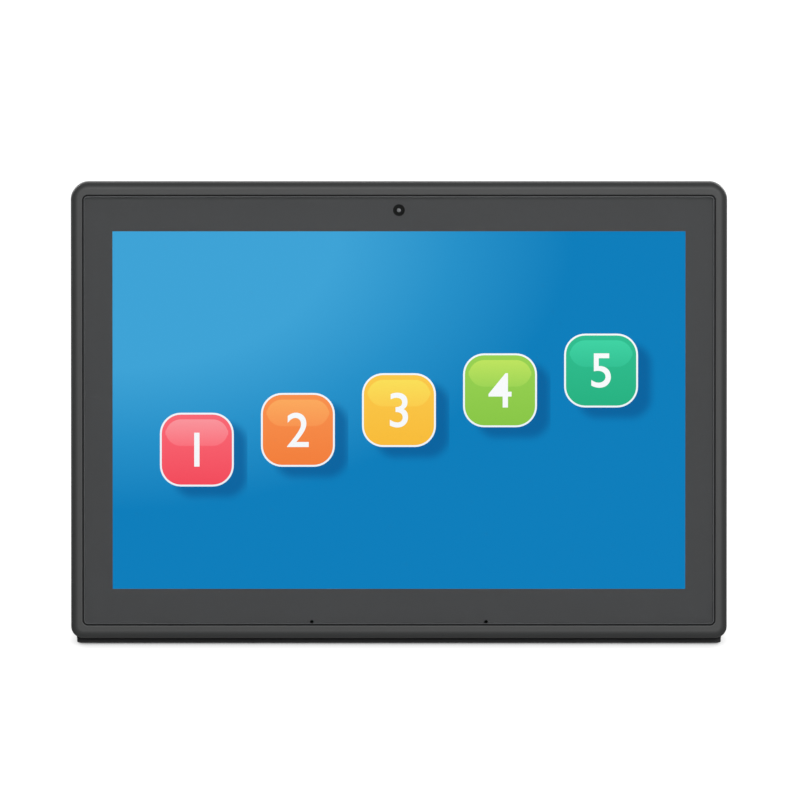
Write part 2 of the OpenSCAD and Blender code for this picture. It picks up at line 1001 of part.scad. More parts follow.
// Port plate, which lies in the step of the bay, with an opening for each port and key
module port_plate()
  color("#29292a")
    difference() {
      at_rear(0, bay_z)
        translate([0, 0, tongue_clear])
          linear_extrude(plate_t)
            rounded_rect(bay_w + 2 * (plate_edge - fit), bay_h + 2 * (plate_edge - fit), bay_r - fit);
      port_cuts();
    }

module port_cuts() {
  rear_cut(usb_c_x)
    translate([0, usb_c_rise])
      rounded_rect(usb_c_size[0] + 2 * slack, usb_c_size[1] + 2 * slack, usb_c_size[1] / 2);
  for (x = usb_xs)
    rear_cut(x)
      translate([0, usb_rise + usb_size[1] / 2])
        square([usb_size[0] + 2 * slack, usb_size[1] + 2 * slack], center = true);
  rear_cut(network_x)
    translate([0, network_size[1] / 2])
      square([network_size[0] - 2 * slack, network_size[1] - 2 * slack], center = true);
  rear_cut(audio_x)
    translate([0, audio_axis])
      circle(d = audio_size[0]);
  rear_cut(power_jack_x)
    translate([0, power_axis])
      circle(d = power_size[0]);
  rear_cut(power_key_x)
    translate([0, key_z])
      circle(d = power_d + 2 * slack);
  for (x = [volume_up_x, volume_down_x])
    rear_cut(x)
      translate([0, key_z])
        rotate(90)
          round_slot(volume_w + 2 * slack, volume_l + 2 * slack);
}

module rear_cut(x, z = board_top)
  at_rear(x, z)
    translate([0, 0, -cut])
      linear_extrude(wall + 3 * cut)
        children();

module shell_screws()
  color("#2b2b2c")
    on_face(d_post + post_floor)
      standoff_places()
        rotate([180, 0, 0])
          screw(m3, post_floor + standoff_l - fit);

// Base plate: closes the foot from below, carries the main board and the rubber feet
module base_plate()
  color("#232324")
    on_counter()
      difference() {
        union() {
          translate([0, 0, pad_rise])
            linear_extrude(base_t)
              base_outline();
          translate([-foot_w / 2 + foot_inset + wall, base_front, base_top - fit])
            cube([foot_w - 2 * foot_inset - 2 * wall, lip_t, lip_h + fit]);
          translate([0, 0, base_top - fit])
            board_hole_places()
              cylinder(d = board_post_d, h = post_h + fit);
        }
        board_hole_places()
          translate([0, 0, base_top])
            cylinder(d = m2[0] + fit, h = post_h + cut);
        leg_places() {
          cylinder(d = m3[0] + slack, h = base_top + cut);
          cylinder(d = m3[1] + slack, h = pad_rise + m3_low[2] + fit);
        }
        pad_places()
          cylinder(d = pad_d + slack, h = pad_t);
        base_vents();
      }

// Base outline: small corners in front, large ones at the rear
module base_outline() {
  length = rear_y - base_front;
  intersection() {
    translate([0, base_front + length / 2])
      rounded_rect(foot_w, length, base_front_r);
    translate([0, base_front + length / 2 - foot_corner_r])
      rounded_rect(foot_w, length + 2 * foot_corner_r, foot_corner_r);
  }
}

// Air slots under the main board
module base_vents()
  for (step = [-(base_vent_count - 1) / 2 : (base_vent_count - 1) / 2])
    translate([step * vent_pitch, chip_y, 0])
      linear_extrude(base_top + cut)
        round_slot(slot_w, 2 * vent_l);

module base_screws()
  color("#2b2b2c")
    on_counter(pad_rise + m3_low[2] + fit)
      leg_places()
        rotate([180, 0, 0])
          screw(m3_low, base_screw_l);

module rubber_feet()
  color("#1a1a1a")
    on_counter()
      pad_places()
        rotate_extrude()
          difference() {
            square([pad_d / 2, pad_t]);
            translate([pad_d / 2, 0])
              rotate(45)
                square(pad_bevel, center = true);
          }

module lock_pin_places()
  for (end = [-1, 1])
    at_rear(lock_x + end * lock_pin_x, lock_z)
      children();

// Steel plate behind the lock slot, staked on two pins
module lock_plate()
  color("#9fa3a6")
    difference() {
      at_rear(lock_x, lock_z)
        translate([0, 0, tongue_clear - lock_t])
          linear_extrude(lock_t)
            difference() {
              square(lock_plate_size, center = true);
              rounded_rect(lock_w, lock_h, lock_h / 4);
            }
      lock_pin_places()
        translate([0, 0, -2 * lock_t])
          cylinder(d = lock_pin_d + fit, h = 4 * lock_t);
    }

module main_board()
  color("#17523a")
    on_counter(board_bottom)
      difference() {
        translate([-board_w / 2, board_front, 0])
          cube([board_w, board_l, board_t]);
        board_hole_places()
          translate([0, 0, -cut])
            cylinder(d = m2[0] + slack, h = board_t + 2 * cut);
      }

module board_screws()
  color("#c9ccce")
    on_counter(board_top)
      board_hole_places()
        screw(m2, board_t + post_h - fit);

// Processor, memory, regulator and radio, in a row across the board
module board_chips()
  color("#202123")
    on_counter(board_top) {
      chip_at(0, [chip_w, chip_w]);
      for (side = [-1, 1])
        chip_at(side * memory_x, memory_size);
      chip_at(regulator_x, regulator_size);
      chip_at(radio_x, radio_size);
    }

module chip_at(x, size)
  translate([x - size[0] / 2, chip_y - size[1] / 2, 0])
    cube([size[0], size[1], chip_t]);

// Sockets on the board's front edge for the leads
module board_connectors()
  color("#d8d3c4")
    on_counter(board_top)
      for (place = lead_places)
        translate([place[0] - place[1] / 2 - cut, connector_y, 0])
          cube([place[1] + 2 * cut, connector_l, connector_h]);

module thermal_pad()
  color("#8e8f96")
    on_counter(board_top + chip_t)
      translate([-chip_w / 2, chip_y - chip_w / 2, 0])
        cube([chip_w, chip_w, pad_gap]);

// Heat sink with fins along Y
module heat_sink() {
  fin_pitch = (sink_w - fin_t) / (fin_count - 1);
  color("#a7abae")
    on_counter(board_top + chip_t + pad_gap)
      translate([-sink_w / 2, chip_y + chip_w, 0])
        rotate([90, 0, 0])
          linear_extrude(2 * chip_w) {
            square([sink_w, sink_base]);
            for (fin = [0 : fin_count - 1])
              translate([fin * fin_pitch, 0])
                square([fin_t, sink_h]);
          }
}

// Clock battery: a coin cell lying on the board, with the groove round its cap
module clock_battery()
  color("#c4c7c9")
    on_counter(board_top)
      translate([battery_x, chip_y, 0])
        difference() {
          cylinder(d = battery_d, h = battery_t);
          translate([0, 0, battery_t - battery_groove])
            difference() {
              cylinder(d = battery_d - 2 * cut, h = cut);
              cylinder(d = battery_d - 2 * cut - 2 * battery_groove, h = cut);
            }
        }

module power_jack()
  color("#1b1b1c")
    at_rear(power_jack_x)
      difference() {
        translate([-power_size[0] / 2, 0, -power_size[2]])
          cube(power_size);
        translate([0, power_axis, -power_depth])
          cylinder(d = power_bore, h = power_depth + cut);
      }

module power_jack_pin()
  color("#cfd2d4")
    at_rear(power_jack_x)
      translate([0, power_axis, -power_depth]) {
        cylinder(d = pin_d, h = power_depth - cut - pin_d / 2);
        translate([0, 0, power_depth - cut - pin_d / 2])
          cylinder(d1 = pin_d, d2 = pin_d / 2, h = pin_d / 2);
      }

// Network jack, with the stepped notch for the plug's latch
module network_jack()
  color("#b4b8bb")
    at_rear(network_x)
      difference() {
        translate([-network_size[0] / 2, 0, -network_size[2]])
          cube(network_size);
        translate([0, 0, -network_cavity[2]])
          linear_extrude(network_cavity[2] + cut) {
            translate([-network_cavity[0] / 2, network_floor])
              square([network_cavity[0], network_cavity[1]]);
            for (notch = latch_notches)
              translate([-notch[0] / 2, network_floor - notch[1]])
                square([notch[0], notch[1] + cut]);
          }
      }

// Eight spring contacts under the roof of the network socket
module network_contacts()
  color("#c9a24a")
    at_rear(network_x)
      for (step = [-(contact_count - 1) / 2 : (contact_count - 1) / 2])
        translate([step * contact_pitch - contact_size[0] / 2,
            network_floor + network_cavity[1] - contact_drop, -network_cavity[2]])
          cube([contact_size[0], contact_size[1], network_cavity[2] - contact_short]);

module usb_ports()
  color("#c4c8cb")
    for (x = usb_xs)
      at_rear(x)
        difference() {
          translate([-usb_size[0] / 2, 0, -usb_size[2]])
            cube([usb_size[0], usb_rise + usb_size[1], usb_size[2]]);
          translate([-usb_cavity[0] / 2, usb_rise + (usb_size[1] - usb_cavity[1]) / 2, -usb_cavity[2]])
            cube([usb_cavity[0], usb_cavity[1], usb_cavity[2] + cut]);
        }

module usb_tongues()
  color("#e9e9e6")
    for (x = usb_xs)
      at_rear(x)
        translate([-usb_tongue[0] / 2, usb_rise + usb_size[1] / 2 + fit, -usb_cavity[2]])
          cube([usb_tongue[0], usb_tongue[1], usb_cavity[2] - 2 * slack]);

// Oval port whose tongue grows from its floor, on a small block down to the board
module usb_c_port() {
  floor_z = usb_c_size[2] - usb_c_back;
  color("#c4c8cb")
    at_rear(usb_c_x) {
      translate([0, usb_c_rise, -usb_c_size[2]])
        difference() {
          linear_extrude(usb_c_size[2])
            rotate(90)
              round_slot(usb_c_size[1], usb_c_size[0]);
          translate([0, 0, usb_c_size[2] - floor_z])
            linear_extrude(floor_z + cut)
              difference() {
                rotate(90)
                  round_slot(usb_c_size[1] - 2 * usb_c_wall, usb_c_size[0] - 2 * usb_c_wall);
                square(usb_c_tongue, center = true);
              }
        }
      translate([-usb_c_tongue[0] / 2, 0, -usb_c_size[2]])
        cube([usb_c_tongue[0], usb_c_rise - usb_c_size[1] / 2 + usb_c_wall / 2, usb_c_size[2]]);
    }
}

module audio_jack()
  color("#1b1b1c")
    at_rear(audio_x)
      difference() {
        translate([-audio_size[0] / 2, 0, -audio_size[2]])
          cube(audio_size);
        translate([0, audio_axis, audio_back - audio_size[2]])
          cylinder(d = audio_bore, h = audio_size[2]);
      }

// Speaker: an oblong plate with two ears, a basket and a magnet towards the panel
module speaker(x)
  color("#2c2d2f")
    on_face(d_speaker)
      translate([x, speaker_y, 0]) {
        difference() {
          linear_extrude(speaker_plate)
            difference() {
              union() {
                rotate(90)
                  round_slot(speaker_h, speaker_w);
                rotate(90)
                  round_slot(ear_d, 2 * ear_x + ear_d);
              }
              for (end = [-1, 1])
                translate([end * ear_x, 0])
                  circle(d = m2[0] + slack);
            }
          translate([0, 0, -cut])
            linear_extrude(cut + cone_t + slack)
              rotate(90)
                round_slot(cone_h, cone_w);
        }
        translate([0, 0, speaker_plate - fit])
          cylinder(d = magnet_d, h = magnet_t + fit);
      }

module left_speaker()
  speaker(-speaker_x);

module right_speaker()
  speaker(speaker_x);

module speaker_cones()
  color("#3a3936")
    on_face(d_speaker)
      both_sides()
        translate([speaker_x, speaker_y, 0])
          linear_extrude(cone_t)
            rotate(90)
              round_slot(cone_h - slack, cone_w - slack);

module speaker_gaskets()
  color("#242424")
    on_face(d_inside)
      both_sides()
        translate([speaker_x, speaker_y, 0])
          linear_extrude(gasket_foam)
            difference() {
              rotate(90)
                round_slot(speaker_h, speaker_w - slack);
              rotate(90)
                round_slot(cone_h, cone_w);
            }

module speaker_screws()
  color("#c9ccce")
    on_face(d_speaker - speaker_plate)
      ear_places()
        screw(m2, speaker_plate + gasket_foam);

module antennas()
  color("#8a5a2b")
    on_face(d_inside)
      both_sides()
        translate([antenna_x, antenna_y - antenna_h / 2, 0])
          cube([antenna_w, antenna_h, antenna_t]);

// Ribbon from the back of the driver board, below its chips
module display_ribbon()
  color("#c98a2e")
    flat_lead(display_lead_x, display_lead_w,
      concat([on_slab(panel_bottom + driver_rise + driver_h / 4, d_panel + fit + driver_t + lead_t / 2),
        on_slab(panel_bottom, d_panel + fit + driver_t + lead_t)], lead_end));

// Ribbon from the lower edge of the touch sensor, round the panel's edge
module touch_ribbon()
  color("#c98a2e")
    flat_lead(touch_lead_x, touch_lead_w,
      concat([on_slab(-cell_h / 2 - lead_t, d_gasket + lead_t / 2),
        on_slab(panel_bottom - panel_clear / 2, d_gasket + lead_t / 2),
        on_slab(panel_bottom - panel_clear / 2, frame_depth)], lead_end));

// Ribbon from the camera board, down behind the panel
module camera_ribbon()
  color("#c98a2e")
    flat_lead(camera_lead_x, camera_lead_w,
      concat([on_slab(camera_y, d_camera_board + camera_board_t + lead_t / 2),
        on_slab(panel_bottom, d_camera_board + camera_board_t + lead_t)], lead_end));

module audio_leads()
  color("#8c2f2a") {
    for (x = [-speaker_lead_x, speaker_lead_x])
      flat_lead(x, audio_lead_w,
        concat([on_slab(speaker_y - speaker_h / 4, d_lead),
          on_slab(lead_bend_v, d_lead)], lead_end), audio_lead_t);
    for (x = [-mic_x, mic_x])
      flat_lead(x, audio_lead_w,
        concat([on_slab(mic_y, d_ledge + boot_t + mic_board_t), on_slab(mic_y, frame_depth + wall)],
          lead_end), audio_lead_t);
  }

module antenna_leads()
  color("#202020")
    for (x = [-antenna_lead_x, antenna_lead_x])
      flat_lead(x, antenna_lead_w,
        concat([on_slab(antenna_y, d_inside - antenna_t - antenna_lead_w / 2),
          on_slab(lead_bend_v, d_inside - antenna_t - antenna_lead_w / 2)], lead_end), antenna_lead_w);

// Keys: outline as seen from behind, one for the power key and one for the volume keys
module power_outline(grow)
  circle(d = power_d + 2 * grow);

module volume_outline(grow)
  rotate(90)
    round_slot(volume_w + 2 * grow, volume_l + 2 * grow);

// Key cap with a flange that stops it behind the wall, and a stem for the switch
module key_cap(x)
  color("#2a2b2c")
    at_rear(x)
      translate([0, key_z, 0]) {
        translate([0, 0, flange_z])
          linear_extrude(flange_t)
            key_outline(x, flange_lip);
        translate([0, 0, -2 * fit])
          linear_extrude(2 * fit + tongue_clear + wall - bay_sink + key_proud)
            key_outline(x, 0);
        translate([0, 0, stem_z])
          cylinder(d = stem_d, h = stem_l + fit);
      }

module key_outline(x, grow)
  if (x == power_key_x)
    power_outline(grow);
  else
    volume_outline(grow);

module key_plunger(x)
  color("#d7d7d2")
    at_rear(x)
      translate([0, key_z, stem_z - plunger_out - plunger_in])
        cylinder(d = plunger_d, h = plunger_out + plunger_in);

module key_switches()
  color("#1c1c1d")
    for (x = [power_key_x, volume_up_x, volume_down_x])
      at_rear(x)
        translate([0, 0, stem_z - plunger_out])
          difference() {
            translate([-switch_size[0] / 2, 0, -switch_size[2]])
              cube(switch_size);
            translate([0, key_z, -plunger_in - 2 * key_travel])
              cylinder(d = plunger_d + 2 * slack, h = plunger_in + 2 * key_travel + cut);
          }

module power_button()
  key_cap(power_key_x);

module power_plunger()
  key_plunger(power_key_x);

module volume_up_button()
  key_cap(volume_up_x);

module volume_up_plunger()
  key_plunger(volume_up_x);

module volume_down_button()
  key_cap(volume_down_x);

module volume_down_plunger()
  key_plunger(volume_down_x);

front_bezel();
cover_glass();
border_mask();
glass_tape();
touch_sensor();
display_gasket();
lcd_cell();
light_guide();
backlight_tray();
panel_driver_board();
display_brackets();
bracket_screws();
bracket_standoffs();
camera_body();
camera_lens();
camera_board();
microphone_boots();
microphone_boards();
rear_shell();
shell_screws();
port_plate();
base_plate();
base_screws();
rubber_feet();
lock_plate();
main_board();
board_screws();
board_chips();
board_connectors();
thermal_pad();
heat_sink();
clock_battery();
power_jack();
power_jack_pin();
network_jack();
network_contacts();
usb_ports();
usb_tongues();
usb_c_port();
audio_jack();
left_speaker();
right_speaker();
speaker_cones();
speaker_gaskets();
speaker_screws();
antennas();
display_ribbon();
touch_ribbon();
camera_ribbon();
audio_leads();
antenna_leads();
key_switches();
power_button();
power_plunger();
volume_up_button();
volume_up_plunger();
volume_down_button();
volume_down_plunger();
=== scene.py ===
import bmesh
import bpy
import math
from mathutils import Matrix, Vector


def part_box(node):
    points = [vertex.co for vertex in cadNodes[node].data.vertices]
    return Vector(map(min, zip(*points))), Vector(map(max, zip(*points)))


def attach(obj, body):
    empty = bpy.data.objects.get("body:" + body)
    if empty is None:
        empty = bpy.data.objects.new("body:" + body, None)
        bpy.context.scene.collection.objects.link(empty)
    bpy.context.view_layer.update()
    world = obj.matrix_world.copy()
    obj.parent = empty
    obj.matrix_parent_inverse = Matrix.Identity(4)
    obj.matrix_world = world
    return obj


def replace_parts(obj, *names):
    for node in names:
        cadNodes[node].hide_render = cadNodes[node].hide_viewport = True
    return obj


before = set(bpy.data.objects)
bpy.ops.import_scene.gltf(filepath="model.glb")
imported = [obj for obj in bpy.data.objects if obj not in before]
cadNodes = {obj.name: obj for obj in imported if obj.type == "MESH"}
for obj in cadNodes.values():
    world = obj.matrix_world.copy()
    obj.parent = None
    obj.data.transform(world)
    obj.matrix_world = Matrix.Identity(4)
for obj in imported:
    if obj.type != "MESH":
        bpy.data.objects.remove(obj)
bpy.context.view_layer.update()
scene = bpy.context.scene
scene.view_settings.view_transform = "Standard"
mm = 0.001
print("frame loaded,", len(cadNodes), "solids")


def linearColour(code):
    parts = [int(code[i:i + 2], 16) / 255 for i in (1, 3, 5)]
    return [p / 12.92 if p <= 0.04045 else ((p + 0.055) / 1.055) ** 2.4 for p in parts] + [1.0]


# a node that is given as a link stands for its first output
def addLinks(tree, node, links):
    for key, source in links.items():
        socket = source.outputs[0] if isinstance(source, bpy.types.Node) else source
        tree.links.new(socket, node.inputs[key])


def addNode(tree, kind, settings=None, links=None):
    node = tree.nodes.new(kind)
    for key, value in (settings or {}).items():
        if isinstance(key, str) and hasattr(node, key):
            setattr(node, key, value)
        else:
            node.inputs[key].default_value = value
    addLinks(tree, node, links or {})
    return node


def newMaterial(name, settings=None):
    material = bpy.data.materials.new(name)
    material.use_nodes = True
    shader = material.node_tree.nodes["Principled BSDF"]
    for key, value in (settings or {}).items():
        shader.inputs[key].default_value = value
    return material, material.node_tree, shader


# The leaning face: X across, Y up the face, Z out of it, at a depth behind the frame's front
face = {"lean": 15.0, "cellMiddle": 3.85}
lean = math.radians(face["lean"])
faceUp = Vector((0, math.sin(lean), math.cos(lean)))
faceOut = Vector((0, -math.cos(lean), math.sin(lean)))
faceMiddle = sum(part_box("lcd_cell"), Vector()) / 2 + faceOut * face["cellMiddle"] * mm


def facePlace(depth):
    turn = Matrix((Vector((1, 0, 0)), faceUp, faceOut)).transposed().to_4x4()
    return Matrix.Translation(faceMiddle - faceOut * depth * mm) @ turn


# where a point is on the face, in millimetres
def overFace(tree, depth=0):
    place = addNode(tree, "ShaderNodeTexCoord")
    return addNode(tree, "ShaderNodeMapping",
                   {"vector_type": "TEXTURE", "Location": facePlace(depth).translation,
                    "Rotation": facePlace(depth).to_euler(), "Scale": (mm, mm, mm)},
                   {"Vector": place.outputs["Object"]})


# Gloss and height follow one texture, the tone follows it or another
def dressSurface(tree, shader, tones, toneFrom, grain, rough, spread, bump, depth):
    tone = addNode(tree, "ShaderNodeMix", {"data_type": "RGBA", 6: linearColour(tones[0]),
                                           7: linearColour(tones[1])}, {0: toneFrom})
    gloss = addNode(tree, "ShaderNodeMapRange", {"To Min": rough - spread, "To Max": rough + spread},
                    {"Value": grain})
    dents = addNode(tree, "ShaderNodeBump", {"Strength": bump, "Distance": depth * mm}, {"Height": grain})
    addLinks(tree, shader, {"Base Color": tone.outputs[2], "Roughness": gloss, "Normal": dents})


# Moulded plastics, from a spark-eroded mould: a fine dull grain and faint clouds of tone from the melt.
# The real grain is about 0.1 mm wide, it is drawn coarser so that it shows.
moulded = {"ior": 1.53, "cloud": 30.0, "spread": 0.05, "bump": 0.35}


def mouldedPlastic(name, dark, light, grain, depth, rough, shine=0.35):
    material, tree, shader = newMaterial(name, {"IOR": moulded["ior"], "Specular IOR Level": shine})
    place = addNode(tree, "ShaderNodeTexCoord")
    pits = addNode(tree, "ShaderNodeTexNoise", {"Scale": 1 / (grain * mm), "Detail": 2.0},
                   {"Vector": place.outputs["Object"]})
    cloud = addNode(tree, "ShaderNodeTexNoise", {"Scale": 1 / (moulded["cloud"] * mm), "Detail": 3.0},
                    {"Vector": place.outputs["Object"]})
    dressSurface(tree, shader, (dark, light), cloud, pits, rough, moulded["spread"], moulded["bump"], depth)
    return material


# Sheet and turned metals: lines along one way from rolling, plating or turning, drawn coarser than the
# real hundredths of a millimetre so that they show
drawn = {"along": 0.02, "spread": 0.08, "bump": 0.2, "furrow": 0.01}


def drawnMetal(name, dark, light, rough, lines):
    material, tree, shader = newMaterial(name, {"Metallic": 1.0})
    place = addNode(tree, "ShaderNodeTexCoord")
    fine = 1 / (lines * mm)
    stretch = addNode(tree, "ShaderNodeMapping", {"Scale": (fine, drawn["along"] * fine, fine)},
                      {"Vector": place.outputs["Object"]})
    streak = addNode(tree, "ShaderNodeTexNoise", {"Scale": 1.0, "Detail": 2.0}, {"Vector": stretch})
    dressSurface(tree, shader, (dark, light), streak, streak, rough, drawn["spread"], drawn["bump"],
                 drawn["furrow"])
    return material


# Soft and plain stuffs, such as rubber, foam, paper, film and ink: specks of tone, gloss and height at the
# size of their cells or fibres
specks = {"spread": 0.05, "bump": 0.4}


def speckled(name, dark, light, speck, rough, depth, settings=None):
    material, tree, shader = newMaterial(name, settings)
    place = addNode(tree, "ShaderNodeTexCoord")
    cells = addNode(tree, "ShaderNodeTexNoise", {"Scale": 1 / (speck * mm), "Detail": 4.0},
                    {"Vector": place.outputs["Object"]})
    dressSurface(tree, shader, (dark, light), cells, cells, rough, specks["spread"], specks["bump"], depth)
    return material


# Cover glass: flat toughened glass. Its anti-reflex coating leaves under 1% of sheen, so the IOR is low.
# Smears from wiping, about 20 mm across, dull the gloss a little.
coated = {"ior": 1.12, "rough": 0.02, "smear": 20.0}


def clearGlass(name, tint):
    material, tree, shader = newMaterial(name, {"Base Color": linearColour(tint), "IOR": coated["ior"],
                                                "Transmission Weight": 1.0})
    place = addNode(tree, "ShaderNodeTexCoord")
    smears = addNode(tree, "ShaderNodeTexNoise", {"Scale": 1 / (coated["smear"] * mm), "Detail": 3.0},
                     {"Vector": place.outputs["Object"]})
    gloss = addNode(tree, "ShaderNodeMapRange",
                    {"To Min": coated["rough"] / 2, "To Max": coated["rough"] * 2}, {"Value": smears})
    addLinks(tree, shader, {"Roughness": gloss})
    # lamps reach the print and the display through the pane
    path = addNode(tree, "ShaderNodeLightPath")
    passing = addNode(tree, "ShaderNodeBsdfTransparent", {"Color": linearColour(tint)})
    joined = addNode(tree, "ShaderNodeMixShader", None,
                     {0: path.outputs["Is Shadow Ray"], 1: shader, 2: passing})
    addLinks(tree, tree.nodes["Material Output"], {"Surface": joined})
    return material


# settings that a few stuffs share: hardly any shine, and a clear layer with no air behind it
dull, bonded = {"Specular IOR Level": 0.1}, {"Alpha": 0.01, "Specular IOR Level": 0.0}

# satin charcoal, pale where the rounded edge meets the softbox
frameAbs = mouldedPlastic("frame ABS moulded", "#393a3a", "#3c3d3d", 0.7, 0.02, 0.54, 0.38)
# the same charcoal with a rougher grain, so the back looks a little duller
shellAbs = mouldedPlastic("shell ABS moulded", "#3a3b3c", "#3f4041", 0.7, 0.03, 0.52)
# dull black-grey, hardly any shine so near the counter
baseAbs = mouldedPlastic("base ABS moulded", "#464647", "#4a4a4b", 0.8, 0.04, 0.65, 0.2)
# smoother than the shell, so the keys stand out by their gloss
keyAbs = mouldedPlastic("key ABS moulded", "#262728", "#2b2c2d", 0.5, 0.02, 0.42)
# deep matt black that swallows light round the lens
barrelBlack = mouldedPlastic("matt black lens barrel", "#171717", "#1c1c1c", 0.3, 0.01, 0.75, 0.05)
# black with a soft sheen, from the fibres under its skin
blackNylon = mouldedPlastic("black glass-filled nylon", "#131314", "#1a1a1b", 0.6, 0.02, 0.5)
# milky white, clean and smooth
whiteNylon = mouldedPlastic("white nylon moulded", "#d9d9d4", "#e4e4e0", 0.6, 0.01, 0.45)
# warm off-white of undyed nylon
socketNylon = mouldedPlastic("ivory nylon moulded", "#d2cdbd", "#ddd8c9", 0.6, 0.01, 0.45)
# flat black with a faint grain
chipEpoxy = mouldedPlastic("chip epoxy moulded", "#1a1a1c", "#222224", 0.3, 0.01, 0.5)
# cool grey with soft streaks along the rolling
zincSteel = drawnMetal("zinc-plated sheet steel", "#a9adb0", "#c6cacc", 0.34, 0.25)
# brighter and smoother than zinc, near a mirror
nickelSteel = drawnMetal("nickel-plated steel", "#b9bcbd", "#d0d2d2", 0.24, 0.2)
# the same shine outside, black plastic inside the opening
linedSteel = drawnMetal("nickel-plated shield lined with black nylon", "#b9bcbd", "#d0d2d2", 0.24, 0.2)
# dark metal with a dim sheen
blackScrew = drawnMetal("black zinc screw steel", "#505154", "#646568", 0.38, 0.2)
# yellow with turning rings
brassTurned = drawnMetal("brass turned", "#a8863c", "#c7a556", 0.3, 0.15)
# warm yellow, bright at a glance
goldPlate = drawnMetal("gold-plated bronze", "#c69a3e", "#dcb45a", 0.22, 0.15)
# pale grey with straight lines from the die
sinkAluminium = drawnMetal("aluminium extruded", "#a5a8aa", "#c1c4c5", 0.36, 0.3)
# flat black, slightly rough
footRubber = speckled("rubber pressed", "#141414", "#1c1c1c", 0.8, 0.85, 0.06)
# dull black with open cells
tapeFoam = speckled("acrylic foam", "#161616", "#222222", 0.5, 0.9, 0.08)
# grey putty, a little greasy
padSilicone = speckled("silicone pad", "#84858c", "#94959b", 0.6, 0.6, 0.03)
# brown-black felted fibres
conePaper = speckled("pressed paper cone", "#2d2c2a", "#403e3a", 0.9, 0.9, 0.08)
# amber film with a gloss
ribbonFilm = speckled("polyimide film", "#b37420", "#cf9038", 3.0, 0.35, 0.02)
# black and slightly waxy
wireSleeve = speckled("PVC wire sleeve", "#1e1c1c", "#282626", 1.0, 0.5, 0.02)
# bright white from the dots that spread the light
guideAcrylic = speckled("acrylic with white dots", "#e6eaec", "#f6f8f9", 1.2, 0.3, 0.01)
# even charcoal that lies under the gloss of the glass
borderPrint = speckled("ink screen-printed behind glass", "#454546", "#474748", 1.5, 0.5, 0.002, dull)
# all but unseen, apart from a thin sheen
paneGlass = clearGlass("toughened glass coated", "#fafcfc")
# clear layers that are glued on without air between them hardly show
bondedBack = speckled("glass back bonded", "#0c0d0d", "#101212", 5.0, 0.2, 0.001, bonded)
touchFilm = speckled("touch film bonded", "#0a0c0d", "#0e1112", 5.0, 0.2, 0.001, bonded)
# pale frosted line round the sheet
groundEdge = speckled("ground glass edge", "#5f6162", "#66686a", 0.3, 0.4, 0.01)
# dull black line in the groove
beadSilicone = speckled("black silicone bead", "#1d1d1e", "#232324", 0.6, 0.7, 0.02, dull)
# soft grey, readable on the dark caps
legendInk = speckled("pale pad-printed ink", "#b9bbbc", "#c3c5c6", 0.4, 0.6, 0.01)
# tinted windows with a wet gloss
greenPipe = speckled("green light pipe", "#5f9a63", "#74ad76", 0.6, 0.25, 0.005)
amberPipe = speckled("amber light pipe", "#c08a34", "#cf9c48", 0.6, 0.25, 0.005)
# fine black threads
netNylon = speckled("woven nylon net", "#1b1b1c", "#272728", 0.3, 0.7, 0.01)
# black holes in the pale edge of the glass: ink on the drilled walls, made near black so it is also painted
# shade standing in for the dark down the holes
holeInkAndShade = speckled("ink and painted shade in the drilled holes", "#0a0a0a", "#0f0f0f", 0.5, 0.8, 0.01, dull)
# painted glint: the lens is coloured a small grey to stand in for the reflection in it, under a clear coat
lensPaintedGlint = speckled("coated lens with painted glint", "#757677", "#848586", 0.4, 0.12, 0.001, {"Coat Weight": 1.0})

# Circuit board: green lacquer over copper tracks, which show as paler, raised and glossier lines in blocks
tracks = {"block": 8.0, "long": 0.9, "apart": 0.16, "wide": 0.02, "dull": 0.4, "glossy": 0.28, "bump": 0.5,
          "rise": 0.03}


def circuitBoard(name, lacquer, track):
    material, tree, shader = newMaterial(name)
    place = addNode(tree, "ShaderNodeTexCoord")
    lines = addNode(tree, "ShaderNodeTexBrick",
                    {"Scale": 1 / (tracks["block"] * mm), "Mortar Size": tracks["wide"],
                     "Brick Width": tracks["long"], "Row Height": tracks["apart"],
                     "Color1": linearColour(lacquer), "Color2": linearColour(lacquer),
                     "Mortar": linearColour(track)}, {"Vector": place.outputs["Object"]})
    gloss = addNode(tree, "ShaderNodeMapRange", {"To Min": tracks["dull"], "To Max": tracks["glossy"]},
                    {"Value": lines.outputs["Fac"]})
    ridges = addNode(tree, "ShaderNodeBump", {"Strength": tracks["bump"], "Distance": tracks["rise"] * mm},
                     {"Height": lines.outputs["Fac"]})
    addLinks(tree, shader, {"Base Color": lines.outputs["Color"], "Roughness": gloss, "Normal": ridges})
    return material


boardLacquer = circuitBoard("circuit board lacquered", "#14482f", "#1f6a45")


# 1 inside a box and 0 outside it
def insideBox(tree, place, middle, half):
    away = addNode(tree, "ShaderNodeVectorMath", {"operation": "SUBTRACT", 1: middle}, {0: place})
    folded = addNode(tree, "ShaderNodeVectorMath", {"operation": "ABSOLUTE"}, {0: away})
    beyond = addNode(tree, "ShaderNodeVectorMath", {"operation": "SUBTRACT", 1: half}, {0: folded})
    ways = addNode(tree, "ShaderNodeSeparateXYZ", None, {"Vector": beyond})
    level = addNode(tree, "ShaderNodeMath", {"operation": "MAXIMUM"},
                    {0: ways.outputs["X"], 1: ways.outputs["Y"]})
    furthest = addNode(tree, "ShaderNodeMath", {"operation": "MAXIMUM"}, {0: level, 1: ways.outputs["Z"]})
    return addNode(tree, "ShaderNodeMath", {"operation": "LESS_THAN", 1: 0.0}, {0: furthest})


# a second tone over a finished surface, as far as the mask goes
def paintOver(tree, shader, mask, tint):
    under = shader.inputs["Base Color"].links[0].from_socket
    tone = addNode(tree, "ShaderNodeMix", {"data_type": "RGBA", 7: linearColour(tint)}, {0: mask, 6: under})
    addLinks(tree, shader, {"Base Color": tone.outputs[2]})


